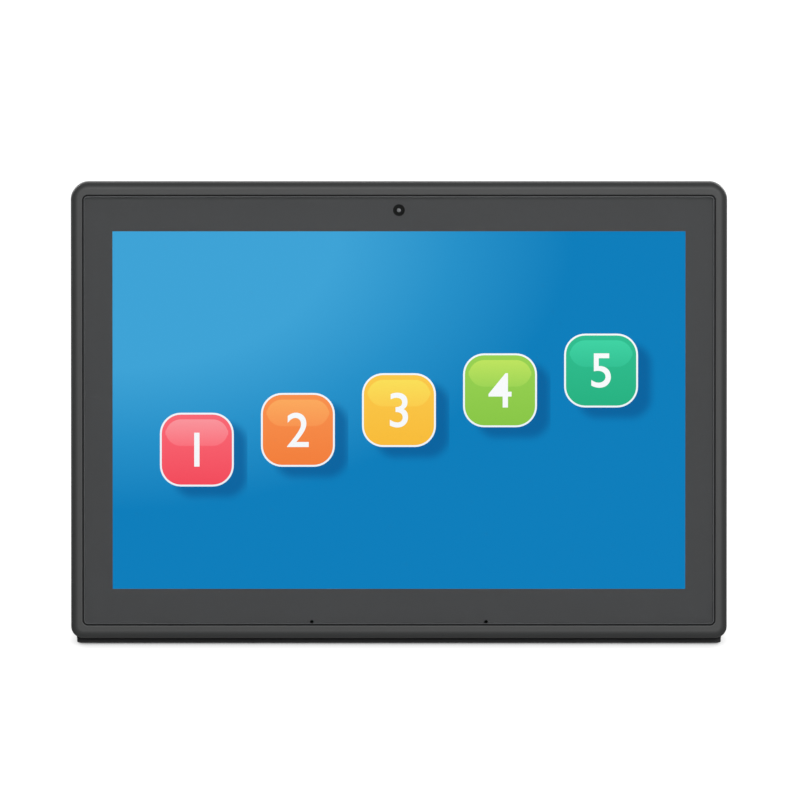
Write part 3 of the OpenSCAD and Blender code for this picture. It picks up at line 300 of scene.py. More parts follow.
# Network jack: a bright shield outside, black plastic inside its opening
jack = {"wide": 11.9, "low": 1.7, "high": 12.3, "deep": 13.2, "sunk": 0.05, "lining": "#161617",
        "duller": 0.26}
jackLow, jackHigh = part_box("network_jack")
jackSize = Vector((jack["wide"], jack["deep"] - jack["sunk"], jack["high"] - jack["low"])) * mm
jackMiddle = Vector(((jackLow.x + jackHigh.x) / 2, jackHigh.y - (jack["deep"] + jack["sunk"]) / 2 * mm,
                     jackLow.z + (jack["high"] + jack["low"]) / 2 * mm))


def lineOpening(material):
    tree, shader = material.node_tree, material.node_tree.nodes["Principled BSDF"]
    place = addNode(tree, "ShaderNodeTexCoord")
    inside = insideBox(tree, place.outputs["Object"], jackMiddle, jackSize / 2)
    paintOver(tree, shader, inside, jack["lining"])
    rough = addNode(tree, "ShaderNodeMath", {"operation": "MULTIPLY_ADD", 1: jack["duller"]},
                    {0: inside, 2: shader.inputs["Roughness"].links[0].from_socket})
    bare = addNode(tree, "ShaderNodeMath", {"operation": "SUBTRACT", 0: 1.0}, {1: inside})
    addLinks(tree, shader, {"Roughness": rough, "Metallic": bare})


lineOpening(linedSteel)

# Painted shade: a thin dark line is painted where the frame and the shell meet, at its depth behind the
# face, standing in for the shadow in the gap between them
seamShade = {"deep": 9.0, "half": 0.12, "dark": 0.9, "tint": "#050505"}


def paintSeamShade(material):
    tree, shader = material.node_tree, material.node_tree.nodes["Principled BSDF"]
    split = addNode(tree, "ShaderNodeSeparateXYZ", None, {"Vector": overFace(tree, seamShade["deep"])})
    away = addNode(tree, "ShaderNodeMath", {"operation": "ABSOLUTE"}, {0: split.outputs["Z"]})
    line = addNode(tree, "ShaderNodeMapRange",
                   {"From Min": seamShade["half"], "From Max": 2 * seamShade["half"], "To Min": seamShade["dark"],
                    "To Max": 0.0}, {"Value": away})
    paintOver(tree, shader, line, seamShade["tint"])


paintSeamShade(frameAbs)
paintSeamShade(shellAbs)

# Painted highlight: a paler line is painted along the frame's inner edge by the glass, standing in for the
# shine that edge catches from the softbox
rimHighlight = {"wide": 240.64, "high": 164.04, "deep": 0.3, "below": 0.01, "tint": "#666767"}


def paintRimHighlight(material):
    tree, shader = material.node_tree, material.node_tree.nodes["Principled BSDF"]
    middle = (0, 0, -rimHighlight["below"] - rimHighlight["deep"] / 2)
    half = (rimHighlight["wide"] / 2, rimHighlight["high"] / 2, rimHighlight["deep"] / 2)
    paintOver(tree, shader, insideBox(tree, overFace(tree), middle, half), rimHighlight["tint"])


paintRimHighlight(frameAbs)
print("stuffs made")

# Display picture: a lit panel, blue with a pale glow from its upper left corner, and tiles with soft shades
picture = {"behind": 3.15, "level": 1.03, "glow": (-108.5, 67.8), "glowWide": 178.0, "glowHigh": 108.0,
           "near": (0.48, "#3fa4d8"), "middle": (0.73, "#2792cb"), "far": (0.98, "#0e7fbd"),
           "tile": 28.0, "round": 8.0, "pitch": 38.3, "rise": 7.5, "side": 2,
           "shade": "#0b5a96", "shadeDark": 0.75, "shadeX": 5.0, "shadeY": -4.0, "soft": 2.5}
litSurface = {"Base Color": linearColour("#000000"), "Roughness": 0.6, "Specular IOR Level": 0.0,
              "Emission Strength": picture["level"]}
beyondAll = 1e6  # wider than anything here, so that the way out of the face doesn't count


# how dark the shade is: from the nearest tile's place, then the distance to its rounded square
def tileShade(tree, upright):
    split = addNode(tree, "ShaderNodeSeparateXYZ", None, {"Vector": upright})
    nearest = addNode(tree, "ShaderNodeMath", {"operation": "DIVIDE", 1: picture["pitch"]},
                      {0: split.outputs["X"]})
    whole = addNode(tree, "ShaderNodeMath", {"operation": "ROUND"}, {0: nearest})
    inRow = addNode(tree, "ShaderNodeClamp", {"Min": -picture["side"], "Max": picture["side"]},
                    {"Value": whole})
    middle = addNode(tree, "ShaderNodeVectorMath",
                     {"operation": "SCALE", 0: (picture["pitch"], picture["rise"], 0)}, {"Scale": inRow})
    local = addNode(tree, "ShaderNodeVectorMath", {"operation": "SUBTRACT"}, {0: upright, 1: middle})
    moved = addNode(tree, "ShaderNodeVectorMath",
                    {"operation": "SUBTRACT", 1: (picture["shadeX"], picture["shadeY"], 0)}, {0: local})
    folded = addNode(tree, "ShaderNodeVectorMath", {"operation": "ABSOLUTE"}, {0: moved})
    straight = picture["tile"] / 2 - picture["round"]
    beyond = addNode(tree, "ShaderNodeVectorMath",
                     {"operation": "SUBTRACT", 1: (straight, straight, beyondAll)}, {0: folded})
    outside = addNode(tree, "ShaderNodeVectorMath", {"operation": "MAXIMUM", 1: (0, 0, 0)}, {0: beyond})
    reach = addNode(tree, "ShaderNodeVectorMath", {"operation": "LENGTH"}, {0: outside})
    return addNode(tree, "ShaderNodeMapRange",
                   {"interpolation_type": "SMOOTHSTEP", "To Min": picture["shadeDark"], "To Max": 0.0,
                    "From Min": picture["round"] - picture["soft"],
                    "From Max": picture["round"] + picture["soft"]}, {"Value": reach.outputs["Value"]})


def displayPanel(name):
    material, tree, shader = newMaterial(name, litSurface)
    upright = overFace(tree)
    corner = addNode(tree, "ShaderNodeMapping",
                     {"vector_type": "TEXTURE", "Location": (*picture["glow"], 0),
                      "Scale": (picture["glowWide"], picture["glowHigh"], beyondAll)}, {"Vector": upright})
    far = addNode(tree, "ShaderNodeVectorMath", {"operation": "LENGTH"}, {0: corner})
    glow = addNode(tree, "ShaderNodeValToRGB", None, {"Fac": far.outputs["Value"]})
    stops = glow.color_ramp.elements
    for stop, (spot, tint) in zip(stops, (picture["near"], picture["far"])):
        stop.position, stop.color = spot, linearColour(tint)
    stops.new(picture["middle"][0]).color = linearColour(picture["middle"][1])
    shaded = addNode(tree, "ShaderNodeMix", {"data_type": "RGBA", 7: linearColour(picture["shade"])},
                     {0: tileShade(tree, upright), 6: glow})
    addLinks(tree, shader, {"Emission Color": shaded.outputs[2]})
    return material


# one lit colour that turns into another up the face
def litColour(name, low, high, bottom, top):
    material, tree, shader = newMaterial(name, litSurface)
    split = addNode(tree, "ShaderNodeSeparateXYZ", None, {"Vector": overFace(tree)})
    height = addNode(tree, "ShaderNodeMapRange", {"From Min": bottom, "From Max": top},
                     {"Value": split.outputs["Y"]})
    tone = addNode(tree, "ShaderNodeMix", {"data_type": "RGBA", 6: linearColour(low),
                                           7: linearColour(high)}, {0: height})
    addLinks(tree, shader, {"Emission Color": tone.outputs[2]})
    return material


panelLight = displayPanel("lit display panel")

# What each solid is made of
solidFinish = (
    (frameAbs, "front_bezel"), (shellAbs, "rear_shell"), (baseAbs, "base_plate"),
    (keyAbs, "power_button volume_up_button volume_down_button"), (barrelBlack, "camera_body"),
    (blackNylon, "port_plate power_jack audio_jack left_speaker right_speaker key_switches"),
    (whiteNylon, "usb_tongues power_plunger volume_up_plunger volume_down_plunger"),
    (socketNylon, "board_connectors"), (chipEpoxy, "board_chips"),
    (zincSteel, "backlight_tray display_brackets bracket_screws lock_plate board_screws speaker_screws"),
    (nickelSteel, "clock_battery power_jack_pin usb_ports usb_c_port"), (linedSteel, "network_jack"),
    (brassTurned, "bracket_standoffs"), (goldPlate, "network_contacts"), (sinkAluminium, "heat_sink"),
    (footRubber, "microphone_boots rubber_feet"), (tapeFoam, "glass_tape display_gasket speaker_gaskets"),
    (padSilicone, "thermal_pad"), (conePaper, "speaker_cones"),
    (ribbonFilm, "antennas display_ribbon touch_ribbon camera_ribbon"),
    (wireSleeve, "audio_leads antenna_leads"), (guideAcrylic, "light_guide"), (borderPrint, "border_mask"),
    (touchFilm, "touch_sensor"), (lensPaintedGlint, "camera_lens"), (panelLight, "lcd_cell"),
    (boardLacquer, "panel_driver_board camera_board microphone_boards main_board"))
for finish, nodeNames in solidFinish:
    for nodeName in nodeNames.split():
        cadNodes[nodeName].data.materials.clear()
        cadNodes[nodeName].data.materials.append(finish)
print("solids dressed")


# A shape drawn in millimetres becomes a piece at its place
def settle(shape, name, place, finishes, body):
    bmesh.ops.scale(shape, vec=(mm, mm, mm), verts=shape.verts)
    shape.transform(place)
    mesh = bpy.data.meshes.new(name)
    shape.to_mesh(mesh)
    shape.free()
    piece = bpy.data.objects.new(name, mesh)
    scene.collection.objects.link(piece)
    for finish in finishes:
        mesh.materials.append(finish)
    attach(piece, body)
    return piece


def roundedOutline(wide, high, radius, steps=10):
    points = []
    for quarter, (sx, sy) in enumerate(((1, 1), (-1, 1), (-1, -1), (1, -1))):
        for step in range(steps + 1):
            turn = math.radians(90 * (quarter + step / steps))
            points.append((sx * (wide / 2 - radius) + radius * math.cos(turn),
                           sy * (high / 2 - radius) + radius * math.sin(turn)))
    return points


# the outline of a sheet or ring that is smaller all round
def insetOutline(sizes, inset):
    return roundedOutline(sizes["wide"] - 2 * inset, sizes["high"] - 2 * inset, sizes["corner"] - inset,
                          sizes["cornerSteps"])


def layLoop(shape, points, level):
    return [shape.verts.new((x, y, level)) for x, y in points]


def joinLoops(shape, lower, upper, slot=0, smooth=True):
    for i in range(len(lower)):
        strip = shape.faces.new((lower[i - 1], lower[i], upper[i], upper[i - 1]))
        strip.material_index, strip.smooth = slot, smooth


def fillLoops(shape, loops, slot, outwards):
    edges = [shape.edges.get((loop[i - 1], loop[i])) or shape.edges.new((loop[i - 1], loop[i]))
             for loop in loops for i in range(len(loop))]
    made = bmesh.ops.triangle_fill(shape, use_beauty=True, use_dissolve=False, edges=edges)
    for flat in [item for item in made["geom"] if isinstance(item, bmesh.types.BMFace)]:
        flat.material_index, flat.smooth = slot, False
        flat.normal_update()
        if flat.normal.z * outwards < 0:
            flat.normal_flip()


def addPrism(shape, outline, low, high, slot=0, shift=(0, 0)):
    moved = [(x + shift[0], y + shift[1]) for x, y in outline]
    bottom, top = layLoop(shape, moved, low), layLoop(shape, moved, high)
    joinLoops(shape, bottom, top, slot, False)
    for cap in (shape.faces.new(top), shape.faces.new(bottom[::-1])):
        cap.material_index = slot


# Cover glass: rounded edge, and two drilled microphone holes that widen at the front; its back is a hair in
# front of the print
pane = {"wide": 238.8, "high": 162.2, "corner": 1.5, "cornerSteps": 8, "front": 0.15, "back": 1.93,
        "edge": 0.3, "edgeSteps": 5, "holeX": 33.0, "holeY": -80.15, "hole": 0.5, "flare": 0.12,
        "holeSteps": 24}
paneFinishes = [paneGlass, bondedBack, holeInkAndShade, groundEdge]
sheet = bmesh.new()
levels = [(0.0, -pane["back"])]
for step in range(pane["edgeSteps"] + 1):
    turn = math.radians(90 * step / pane["edgeSteps"])
    levels.append((pane["edge"] * (1 - math.cos(turn)),
                   -pane["front"] - pane["edge"] * (1 - math.sin(turn))))
rims = [layLoop(sheet, insetOutline(pane, inset), level) for inset, level in levels]
for lower, upper in zip(rims, rims[1:]):
    joinLoops(sheet, lower, upper, paneFinishes.index(groundEdge))
backLoops, frontLoops = [rims[0]], [rims[-1]]
turns = [2 * math.pi * step / pane["holeSteps"] for step in range(pane["holeSteps"])]
for side in (-1, 1):
    rings = []
    for radius, depth in ((pane["hole"], pane["back"]), (pane["hole"], pane["front"] + pane["flare"]),
                          (pane["hole"] + pane["flare"], pane["front"])):
        rings.append(layLoop(sheet, [(side * pane["holeX"] + radius * math.cos(turn),
                                      pane["holeY"] + radius * math.sin(turn)) for turn in turns], -depth))
    for back, front in zip(rings, rings[1:]):
        joinLoops(sheet, front, back, paneFinishes.index(holeInkAndShade))
    backLoops.append(rings[0])
    frontLoops.append(rings[-1])
fillLoops(sheet, frontLoops, paneFinishes.index(paneGlass), 1)
fillLoops(sheet, backLoops, paneFinishes.index(bondedBack), -1)
glassPane = settle(sheet, "cover_glass_pane", facePlace(0), paneFinishes, "housing")
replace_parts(glassPane, "cover_glass")

# Silicone bead in the groove round the glass
bead = {"wide": 239.96, "high": 163.36, "corner": 2.08, "cornerSteps": 8, "gap": 0.56, "front": 0.8,
        "back": 1.9}
beadShape = bmesh.new()
outer, inner = insetOutline(bead, 0), insetOutline(bead, bead["gap"])
beadLoops = [layLoop(beadShape, outline, -depth) for outline, depth in (
    (outer, bead["back"]), (outer, bead["front"]), (inner, bead["front"]), (inner, bead["back"]))]
for lower, upper in zip(beadLoops, beadLoops[1:] + beadLoops[:1]):
    joinLoops(beadShape, lower, upper, 0, False)
settle(beadShape, "groove_bead", facePlace(0), [beadSilicone], "housing")
print("glass laid")

# Rating tiles on the display: five rounded squares that climb from red to green, each with its number
tiles = {"rim": 0.7, "layer": 0.02, "shineInset": 3, "shineHigh": 0.36, "shineUp": 0.23, "shineLayers": 0.5,
         "figureHigh": 13.0, "figurePart": 0.7, "bolder": 0.1, "weld": 1e-4, "whiteUp": 40.0,
         "colours": [("#f54b5c", "#fd6b78", "#fd9ea5"), ("#f57f3c", "#fb9350", "#ffb062"),
                     ("#fbbd3a", "#fecb4c", "#fde65c"), ("#8ac847", "#9bd455", "#c8ea63"),
                     ("#28b382", "#33c092", "#44d9a9")]}
rimWhite = litColour("tile rim white", "#e9f3fa", "#ffffff", -tiles["whiteUp"], tiles["whiteUp"])
numberWhite = litColour("tile number white", "#f4f8fb", "#ffffff", -tiles["whiteUp"], tiles["whiteUp"])


# a figure one layer thick, with its middle at a place
def figureMesh(figure, middle, slot):
    curve = bpy.data.curves.new(f"number {figure}", "FONT")
    curve.body = figure
    curve.size = tiles["figureHigh"] / tiles["figurePart"]  # a figure takes up this part of the type's size
    curve.offset = tiles["bolder"]
    curve.align_x, curve.align_y = "CENTER", "CENTER"
    words = bpy.data.objects.new("number", curve)
    scene.collection.objects.link(words)
    bpy.context.view_layer.update()
    flat = bpy.data.meshes.new_from_object(words.evaluated_get(bpy.context.evaluated_depsgraph_get()))
    bpy.data.objects.remove(words)
    shape = bmesh.new()
    shape.from_mesh(flat)
    bmesh.ops.remove_doubles(shape, verts=shape.verts, dist=tiles["weld"])
    raised = bmesh.ops.extrude_face_region(shape, geom=shape.faces[:])["geom"]
    bmesh.ops.translate(shape, vec=(0, 0, tiles["layer"]),
                        verts=[item for item in raised if isinstance(item, bmesh.types.BMVert)])
    bmesh.ops.recalc_face_normals(shape, faces=shape.faces)
    spans = [(min(v.co[way] for v in shape.verts), max(v.co[way] for v in shape.verts)) for way in (0, 1)]
    bmesh.ops.translate(shape, vec=middle - Vector((*[sum(span) / 2 for span in spans], 0)),
                        verts=shape.verts)
    for surface in shape.faces:
        surface.material_index = slot
    shape.to_mesh(flat)
    shape.free()
    return flat


size, rim, layer = picture["tile"], tiles["rim"], tiles["layer"]
shineBack, shineFront = 2 * layer, (2 + tiles["shineLayers"]) * layer
for index, (low, middle, high) in enumerate(tiles["colours"]):
    across, up = (index - picture["side"]) * picture["pitch"], (index - picture["side"]) * picture["rise"]
    fill = litColour(f"tile {index + 1} colour", low, middle, up - size / 2, up + size / 2)
    shine = litColour(f"tile {index + 1} highlight", middle, high, up, up + size / 2)
    tile = bmesh.new()
    addPrism(tile, roundedOutline(size, size, picture["round"]), 0, layer, 0, (across, up))
    addPrism(tile, roundedOutline(size - 2 * rim, size - 2 * rim, picture["round"] - rim),
             layer, shineBack, 1, (across, up))
    shineIn = tiles["shineInset"] * rim
    band = roundedOutline(size - 2 * shineIn, size * tiles["shineHigh"], picture["round"] - shineIn)
    addPrism(tile, band, shineBack, shineFront, 2, (across, up + size * tiles["shineUp"]))
    tile.from_mesh(figureMesh(str(index + 1), Vector((across, up, shineFront)), 3))
    settle(tile, f"rating_tile_{index + 1}", facePlace(picture["behind"]),
           [rimWhite, fill, shine, numberWhite], "housing")
print("picture laid out")


# The rear of the foot: X to the right as seen from behind, Y up, Z out
def rearPlace(x, y, z):
    return Matrix.Translation((x, y, z)) @ Matrix(((-1, 0, 0), (0, 0, 1), (0, 1, 0))).transposed().to_4x4()


# Key marks: a broken ring with a bar, a plus and a minus, printed on the caps
marks = {"line": 0.4, "ring": 1.45, "opening": 38.0, "ringSteps": 40, "barLonger": 0.4, "barUp": 0.3,
         "plus": 2.6, "endShare": 2.1, "endSteps": 4, "sunk": 0.04, "proud": 0.06}
endRound = marks["line"] / marks["endShare"]  # nearly half the line, so that its ends are round


def markOutline(shape, outline, shift=(0, 0)):
    addPrism(shape, outline, -marks["sunk"], marks["proud"], 0, shift)


def markRing(shape):
    turns = [math.radians(90 + marks["opening"] + (360 - 2 * marks["opening"]) * step / marks["ringSteps"])
             for step in range(marks["ringSteps"] + 1)]
    inner, outer = marks["ring"] - marks["line"] / 2, marks["ring"] + marks["line"] / 2
    markOutline(shape, [(outer * math.cos(t), outer * math.sin(t)) for t in turns]
                + [(inner * math.cos(t), inner * math.sin(t)) for t in turns[::-1]])
    bar = roundedOutline(marks["line"], marks["ring"] + marks["barLonger"], endRound, marks["endSteps"])
    markOutline(shape, bar, (0, marks["ring"] / 2 + marks["barUp"]))


def markMinus(shape):
    markOutline(shape, roundedOutline(marks["plus"], marks["line"], endRound, marks["endSteps"]))


def markPlus(shape):
    far, near = marks["plus"] / 2, marks["line"] / 2
    corners = [(far, -near), (far, near), (near, near), (near, far), (-near, far), (-near, near)]
    markOutline(shape, corners + [(-x, -y) for x, y in corners])


for keyName, draw in (("power", markRing), ("volume_up", markPlus), ("volume_down", markMinus)):
    keyLow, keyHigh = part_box(f"{keyName}_button")
    mark = bmesh.new()
    draw(mark)
    settle(mark, f"{keyName}_mark",
           rearPlace((keyLow.x + keyHigh.x) / 2, keyHigh.y, (keyLow.z + keyHigh.z) / 2),
           [legendInk], f"{keyName}_key")

# Network jack: two light pipes under the opening
pipes = {"wide": 2.4, "high": 1.5, "round": 0.3, "roundSteps": 4, "apart": 10.4, "rise": 2.6, "sunk": 0.6,
         "proud": 0.2}
jackLow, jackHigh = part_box("network_jack")
for side, finish, tint in ((-1, greenPipe, "green"), (1, amberPipe, "amber")):
    window = bmesh.new()
    addPrism(window, roundedOutline(pipes["wide"], pipes["high"], pipes["round"], pipes["roundSteps"]),
             -pipes["sunk"], pipes["proud"])
    settle(window, f"network_{tint}_pipe",
           rearPlace((jackLow.x + jackHigh.x) / 2 - side * pipes["apart"] / 2 * mm, jackHigh.y,
                     jackLow.z + pipes["rise"] * mm), [finish], "housing")
print("marks printed")


# Geometry Nodes: a new tree with named sizes, and its result as one plain shape
def newTree(name, sizes):
    tree = bpy.data.node_groups.new(name, "GeometryNodeTree")
    tree.interface.new_socket("Geometry", in_out="INPUT", socket_type="NodeSocketGeometry")
    tree.interface.new_socket("Geometry", in_out="OUTPUT", socket_type="NodeSocketGeometry")
    for size in sizes:
        tree.interface.new_socket(size, in_out="INPUT", socket_type="NodeSocketFloat")
    tree.interface.new_socket("Finish", in_out="INPUT", socket_type="NodeSocketMaterial")
    return tree, tree.nodes.new("NodeGroupInput").outputs


# one shape at each of the points that the tree is given
def endTree(tree, given, shape):
    placed = addNode(tree, "GeometryNodeInstanceOnPoints", None, {"Points": given["Geometry"],
                                                                  "Instance": shape})
    solid = addNode(tree, "GeometryNodeRealizeInstances", None, {"Geometry": placed})
    finished = addNode(tree, "GeometryNodeSetMaterial", None, {"Geometry": solid,
                                                               "Material": given["Finish"]})
    addNode(tree, "NodeGroupOutput", None, {"Geometry": finished})


def growMesh(name, points, tree, values):
    seeds = bpy.data.meshes.new(name)
    seeds.from_pydata(points, [], [])
    seed = bpy.data.objects.new(name, seeds)
    scene.collection.objects.link(seed)
    grower = seed.modifiers.new("grow", "NODES")
    grower.node_group = tree
    sockets = {item.name: item.identifier for item in tree.interface.items_tree if item.in_out == "INPUT"}
    for key, value in values.items():
        grower[sockets[key]] = value
    bpy.context.view_layer.update()
    grown = bpy.data.meshes.new_from_object(seed.evaluated_get(bpy.context.evaluated_depsgraph_get()))
    bpy.data.objects.remove(seed)
    shape = bmesh.new()
    shape.from_mesh(grown)
    bpy.data.meshes.remove(grown)
    return shape


# Net of round threads, two layers crossing
nets = {"threadSides": 6, "thread": 0.28, "pitch": 0.9, "inside": 16.8,
        "ventHigh": 62.5, "ventWide": 126.0, "ventTall": 14.4,
        "speakerX": 50.0, "speakerHigh": -24.4, "speakerWide": 34.2, "speakerTall": 16.2}
netTree, netGiven = newTree("net", ["Wide", "High", "Pitch", "Thread"])
woven = addNode(netTree, "GeometryNodeJoinGeometry")
threadRadius = addNode(netTree, "ShaderNodeMath", {"operation": "MULTIPLY", 1: 0.5},
                       {0: netGiven["Thread"]})
for along, across, way, turn, level in (("Wide", "High", "Y", (0, math.pi / 2, 0), -0.5),
                                        ("High", "Wide", "X", (math.pi / 2, 0, 0), 0.5)):
    thread = addNode(netTree, "GeometryNodeMeshCylinder", {"Vertices": nets["threadSides"]},
                     {"Radius": threadRadius, "Depth": netGiven[along]})
    laid = addNode(netTree, "GeometryNodeTransform", {"Rotation": turn}, {"Geometry": thread})
    count = addNode(netTree, "ShaderNodeMath", {"operation": "DIVIDE"},
                    {0: netGiven[across], 1: netGiven["Pitch"]})
    edge = addNode(netTree, "ShaderNodeMath", {"operation": "MULTIPLY", 1: -0.5}, {0: netGiven[across]})
    lift = addNode(netTree, "ShaderNodeMath", {"operation": "MULTIPLY", 1: level}, {0: netGiven["Thread"]})
    start = addNode(netTree, "ShaderNodeCombineXYZ", None, {way: edge, "Z": lift})
    step = addNode(netTree, "ShaderNodeCombineXYZ", None, {way: netGiven["Pitch"]})
    row = addNode(netTree, "GeometryNodeMeshLine", None, {"Count": count, "Start Location": start,
                                                          "Offset": step})
    threads = addNode(netTree, "GeometryNodeInstanceOnPoints", None, {"Points": row, "Instance": laid})
    addLinks(netTree, woven, {"Geometry": threads})
endTree(netTree, netGiven, woven)

# Dust nets behind the air slots and the speaker slots, just inside the shell's back wall
ventPoints = [(0, nets["ventHigh"], 0)]
speakerPoints = [(side * nets["speakerX"], nets["speakerHigh"], 0) for side in (-1, 1)]
for name, wide, tall, points in (("vent_dust_net", "ventWide", "ventTall", ventPoints),
                                 ("speaker_dust_nets", "speakerWide", "speakerTall", speakerPoints)):
    net = growMesh(name, points, netTree, {"Wide": nets[wide], "High": nets[tall], "Pitch": nets["pitch"],
                                           "Thread": nets["thread"], "Finish": netNylon})
    settle(net, name, facePlace(nets["inside"] - nets["thread"]), [netNylon], "housing")

# Contact strips with rounded corners
contacts = {"wide": 1.0, "long": 6.4, "thick": 0.12, "round": 0.4, "roundSteps": 5, "weld": 1e-4,
            "places": (-3.5, -1.0, 1.0, 3.5), "tongues": (7.0, -13.0), "back": 1.0}
stripTree, stripGiven = newTree("contact strips", ["Wide", "Long", "Thick"])
outline = addNode(stripTree, "GeometryNodeCurvePrimitiveQuadrilateral", None,
                  {"Width": stripGiven["Wide"], "Height": stripGiven["Long"]})
stripRound = addNode(stripTree, "ShaderNodeMath", {"operation": "MULTIPLY", 1: contacts["round"]},
                     {0: stripGiven["Wide"]})
softened = addNode(stripTree, "GeometryNodeFilletCurve", {"mode": "POLY", "Count": contacts["roundSteps"]},
                   {"Curve": outline, "Radius": stripRound})
flatStrip = addNode(stripTree, "GeometryNodeFillCurve", {"mode": "NGONS"}, {"Curve": softened})
risen = addNode(stripTree, "GeometryNodeExtrudeMesh", {"Individual": False},
                {"Mesh": flatStrip, "Offset Scale": stripGiven["Thick"]})
under = addNode(stripTree, "GeometryNodeFlipFaces", None, {"Mesh": flatStrip})
closed = addNode(stripTree, "GeometryNodeJoinGeometry")
for part in (risen, under):
    addLinks(stripTree, closed, {"Geometry": part})
welded = addNode(stripTree, "GeometryNodeMergeByDistance", {"Distance": contacts["weld"]},
                 {"Geometry": closed})
endTree(stripTree, stripGiven, welded)

# USB contacts: four strips under each tongue
tongueLow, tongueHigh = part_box("usb_tongues")
points = [(tongue + place, 0, 0) for tongue in contacts["tongues"] for place in contacts["places"]]
strips = growMesh("usb_contacts", points, stripTree, {"Wide": contacts["wide"], "Long": contacts["long"],
                                                      "Thick": contacts["thick"], "Finish": goldPlate})
middleY = tongueHigh.y - (contacts["back"] + contacts["long"] / 2) * mm
settle(strips, "usb_contacts",
       Matrix.Translation((0, middleY, tongueLow.z)) @ Matrix.Rotation(math.pi, 4, "Y"),
       [goldPlate], "housing")

# Screws with a flat head and a cross recess, their head's top on the XY plane
screws = {"head": 5.4, "headSides": 40, "shank": 3.0, "shankSides": 24, "recess": 3.24, "slot": 0.8,
          "rise": {"shell_screws": 1.9, "base_screws": 1.1}, "apart": 8.0,
          "edge": 0.16, "edgeSteps": 2, "sharp": 0.7, "crease": 0.6}
screwTree, screwGiven = newTree("cross-recess screws",
                                ["Head", "Rise", "Shank", "Length", "Recess", "Slot"])
headDrop = addNode(screwTree, "ShaderNodeMath", {"operation": "MULTIPLY", 1: -0.5}, {0: screwGiven["Rise"]})
# the shank reaches halfway into the head
shankLong = addNode(screwTree, "ShaderNodeMath", {"operation": "SUBTRACT"},
                    {0: screwGiven["Length"], 1: headDrop})
shankDrop = addNode(screwTree, "ShaderNodeMath", {"operation": "MULTIPLY_ADD", 1: -0.5},
                    {0: shankLong, 2: headDrop})
bodied = addNode(screwTree, "GeometryNodeMeshBoolean", {"operation": "UNION", "solver": "EXACT"})
for wide, sides, long, drop in (("Head", "headSides", screwGiven["Rise"], headDrop),
                                ("Shank", "shankSides", shankLong, shankDrop)):
    radius = addNode(screwTree, "ShaderNodeMath", {"operation": "MULTIPLY", 1: 0.5}, {0: screwGiven[wide]})
    rod = addNode(screwTree, "GeometryNodeMeshCylinder", {"Vertices": screws[sides]},
                  {"Radius": radius, "Depth": long})
    spot = addNode(screwTree, "ShaderNodeCombineXYZ", None, {"Z": drop})
    standing = addNode(screwTree, "GeometryNodeTransform", None, {"Geometry": rod, "Translation": spot})
    addLinks(screwTree, bodied, {1: standing})
barSize = addNode(screwTree, "ShaderNodeCombineXYZ", None,
                  {"X": screwGiven["Recess"], "Y": screwGiven["Slot"], "Z": screwGiven["Rise"]})
bar = addNode(screwTree, "GeometryNodeMeshCube", None, {"Size": barSize})
crossBar = addNode(screwTree, "GeometryNodeTransform", {"Rotation": (0, 0, math.pi / 2)}, {"Geometry": bar})
recessed = addNode(screwTree, "GeometryNodeMeshBoolean", {"operation": "DIFFERENCE", "solver": "EXACT"},
                   {0: bodied})
for part in (bar, crossBar):
    addLinks(screwTree, recessed, {1: part})
endTree(screwTree, screwGiven, recessed)

# Screws of the shell and of the base, where the solids have them; their edges are broken
backTurn = Matrix((Vector((-1, 0, 0)), faceUp, -faceOut)).transposed().to_4x4()
underTurn = Matrix((Vector((1, 0, 0)), Vector((0, -1, 0)), Vector((0, 0, -1)))).transposed().to_4x4()
for nodeName, turn in (("shell_screws", backTurn), ("base_screws", underTurn)):
    groups = []
    for vertex in cadNodes[nodeName].data.vertices:
        spot = turn.inverted() @ vertex.co / mm
        home = next((group for group in groups if (group[0] - spot).xy.length < screws["apart"]), None)
        if home is None:
            groups.append([spot])
        else:
            home.append(spot)
    points = [[(min(spot[way] for spot in group) + max(spot[way] for spot in group)) / 2 for way in (0, 1)]
              + [max(spot.z for spot in group)] for group in groups]
    whole = max(spot.z for spot in groups[0]) - min(spot.z for spot in groups[0])
    rise = screws["rise"][nodeName]
    shape = growMesh(nodeName, points, screwTree, {
        "Head": screws["head"], "Rise": rise, "Shank": screws["shank"], "Length": whole - rise,
        "Recess": screws["recess"], "Slot": screws["slot"], "Finish": blackScrew})
    sharp = [edge for edge in shape.edges if edge.calc_face_angle(0) > screws["sharp"]]
    bmesh.ops.bevel(shape, geom=sharp, offset=screws["edge"], segments=screws["edgeSteps"], profile=0.5,
                    affect="EDGES", clamp_overlap=True)
    for surface in shape.faces:
        surface.smooth, surface.material_index = True, 0  # the cut leaves faces with a second slot
    for edge in shape.edges:
        edge.smooth = edge.calc_face_angle(0) < screws["crease"]
    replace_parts(settle(shape, f"{nodeName}_cut", turn, [blackScrew], "housing"), nodeName)
print("nets, contacts and screws grown")

# Camera, nearly square on to the face
shot = {"elevation": 17.5, "distance": 5.0, "across": 303.0, "aimX": 0.4, "aimUp": 3.95, "sensor": 36.0,
        "reach": 50.0}
view = math.radians(shot["elevation"])
eye = bpy.data.objects.new("camera", bpy.data.cameras.new("camera"))
scene.collection.objects.link(eye)
aim = Vector((shot["aimX"] * mm, 0, 0)) + faceMiddle + faceUp * shot["aimUp"] * mm
eye.location = aim + Vector((0, -math.cos(view), math.sin(view))) * shot["distance"]
eye.rotation_euler = (math.pi / 2 - view, 0, 0)
eye.data.sensor_width = shot["sensor"]
eye.data.lens = shot["sensor"] * shot["distance"] / (shot["across"] * mm)
eye.data.clip_end = shot["reach"]
scene.camera = eye

# Studio: a white paper sweep with a soft shadow where the object meets it, and white air behind
studio = {"half": 6.0, "paper": "#7c7c7c", "rough": 0.9, "white": "#ffffff", "shadowReach": 4.8,
          "shadowSamples": 16, "shadowCurve": 0.36, "room": 0.15, "air": 0.1, "floorFade": (0.0, 0.12),
          "airFade": (0.3, 0.8)}


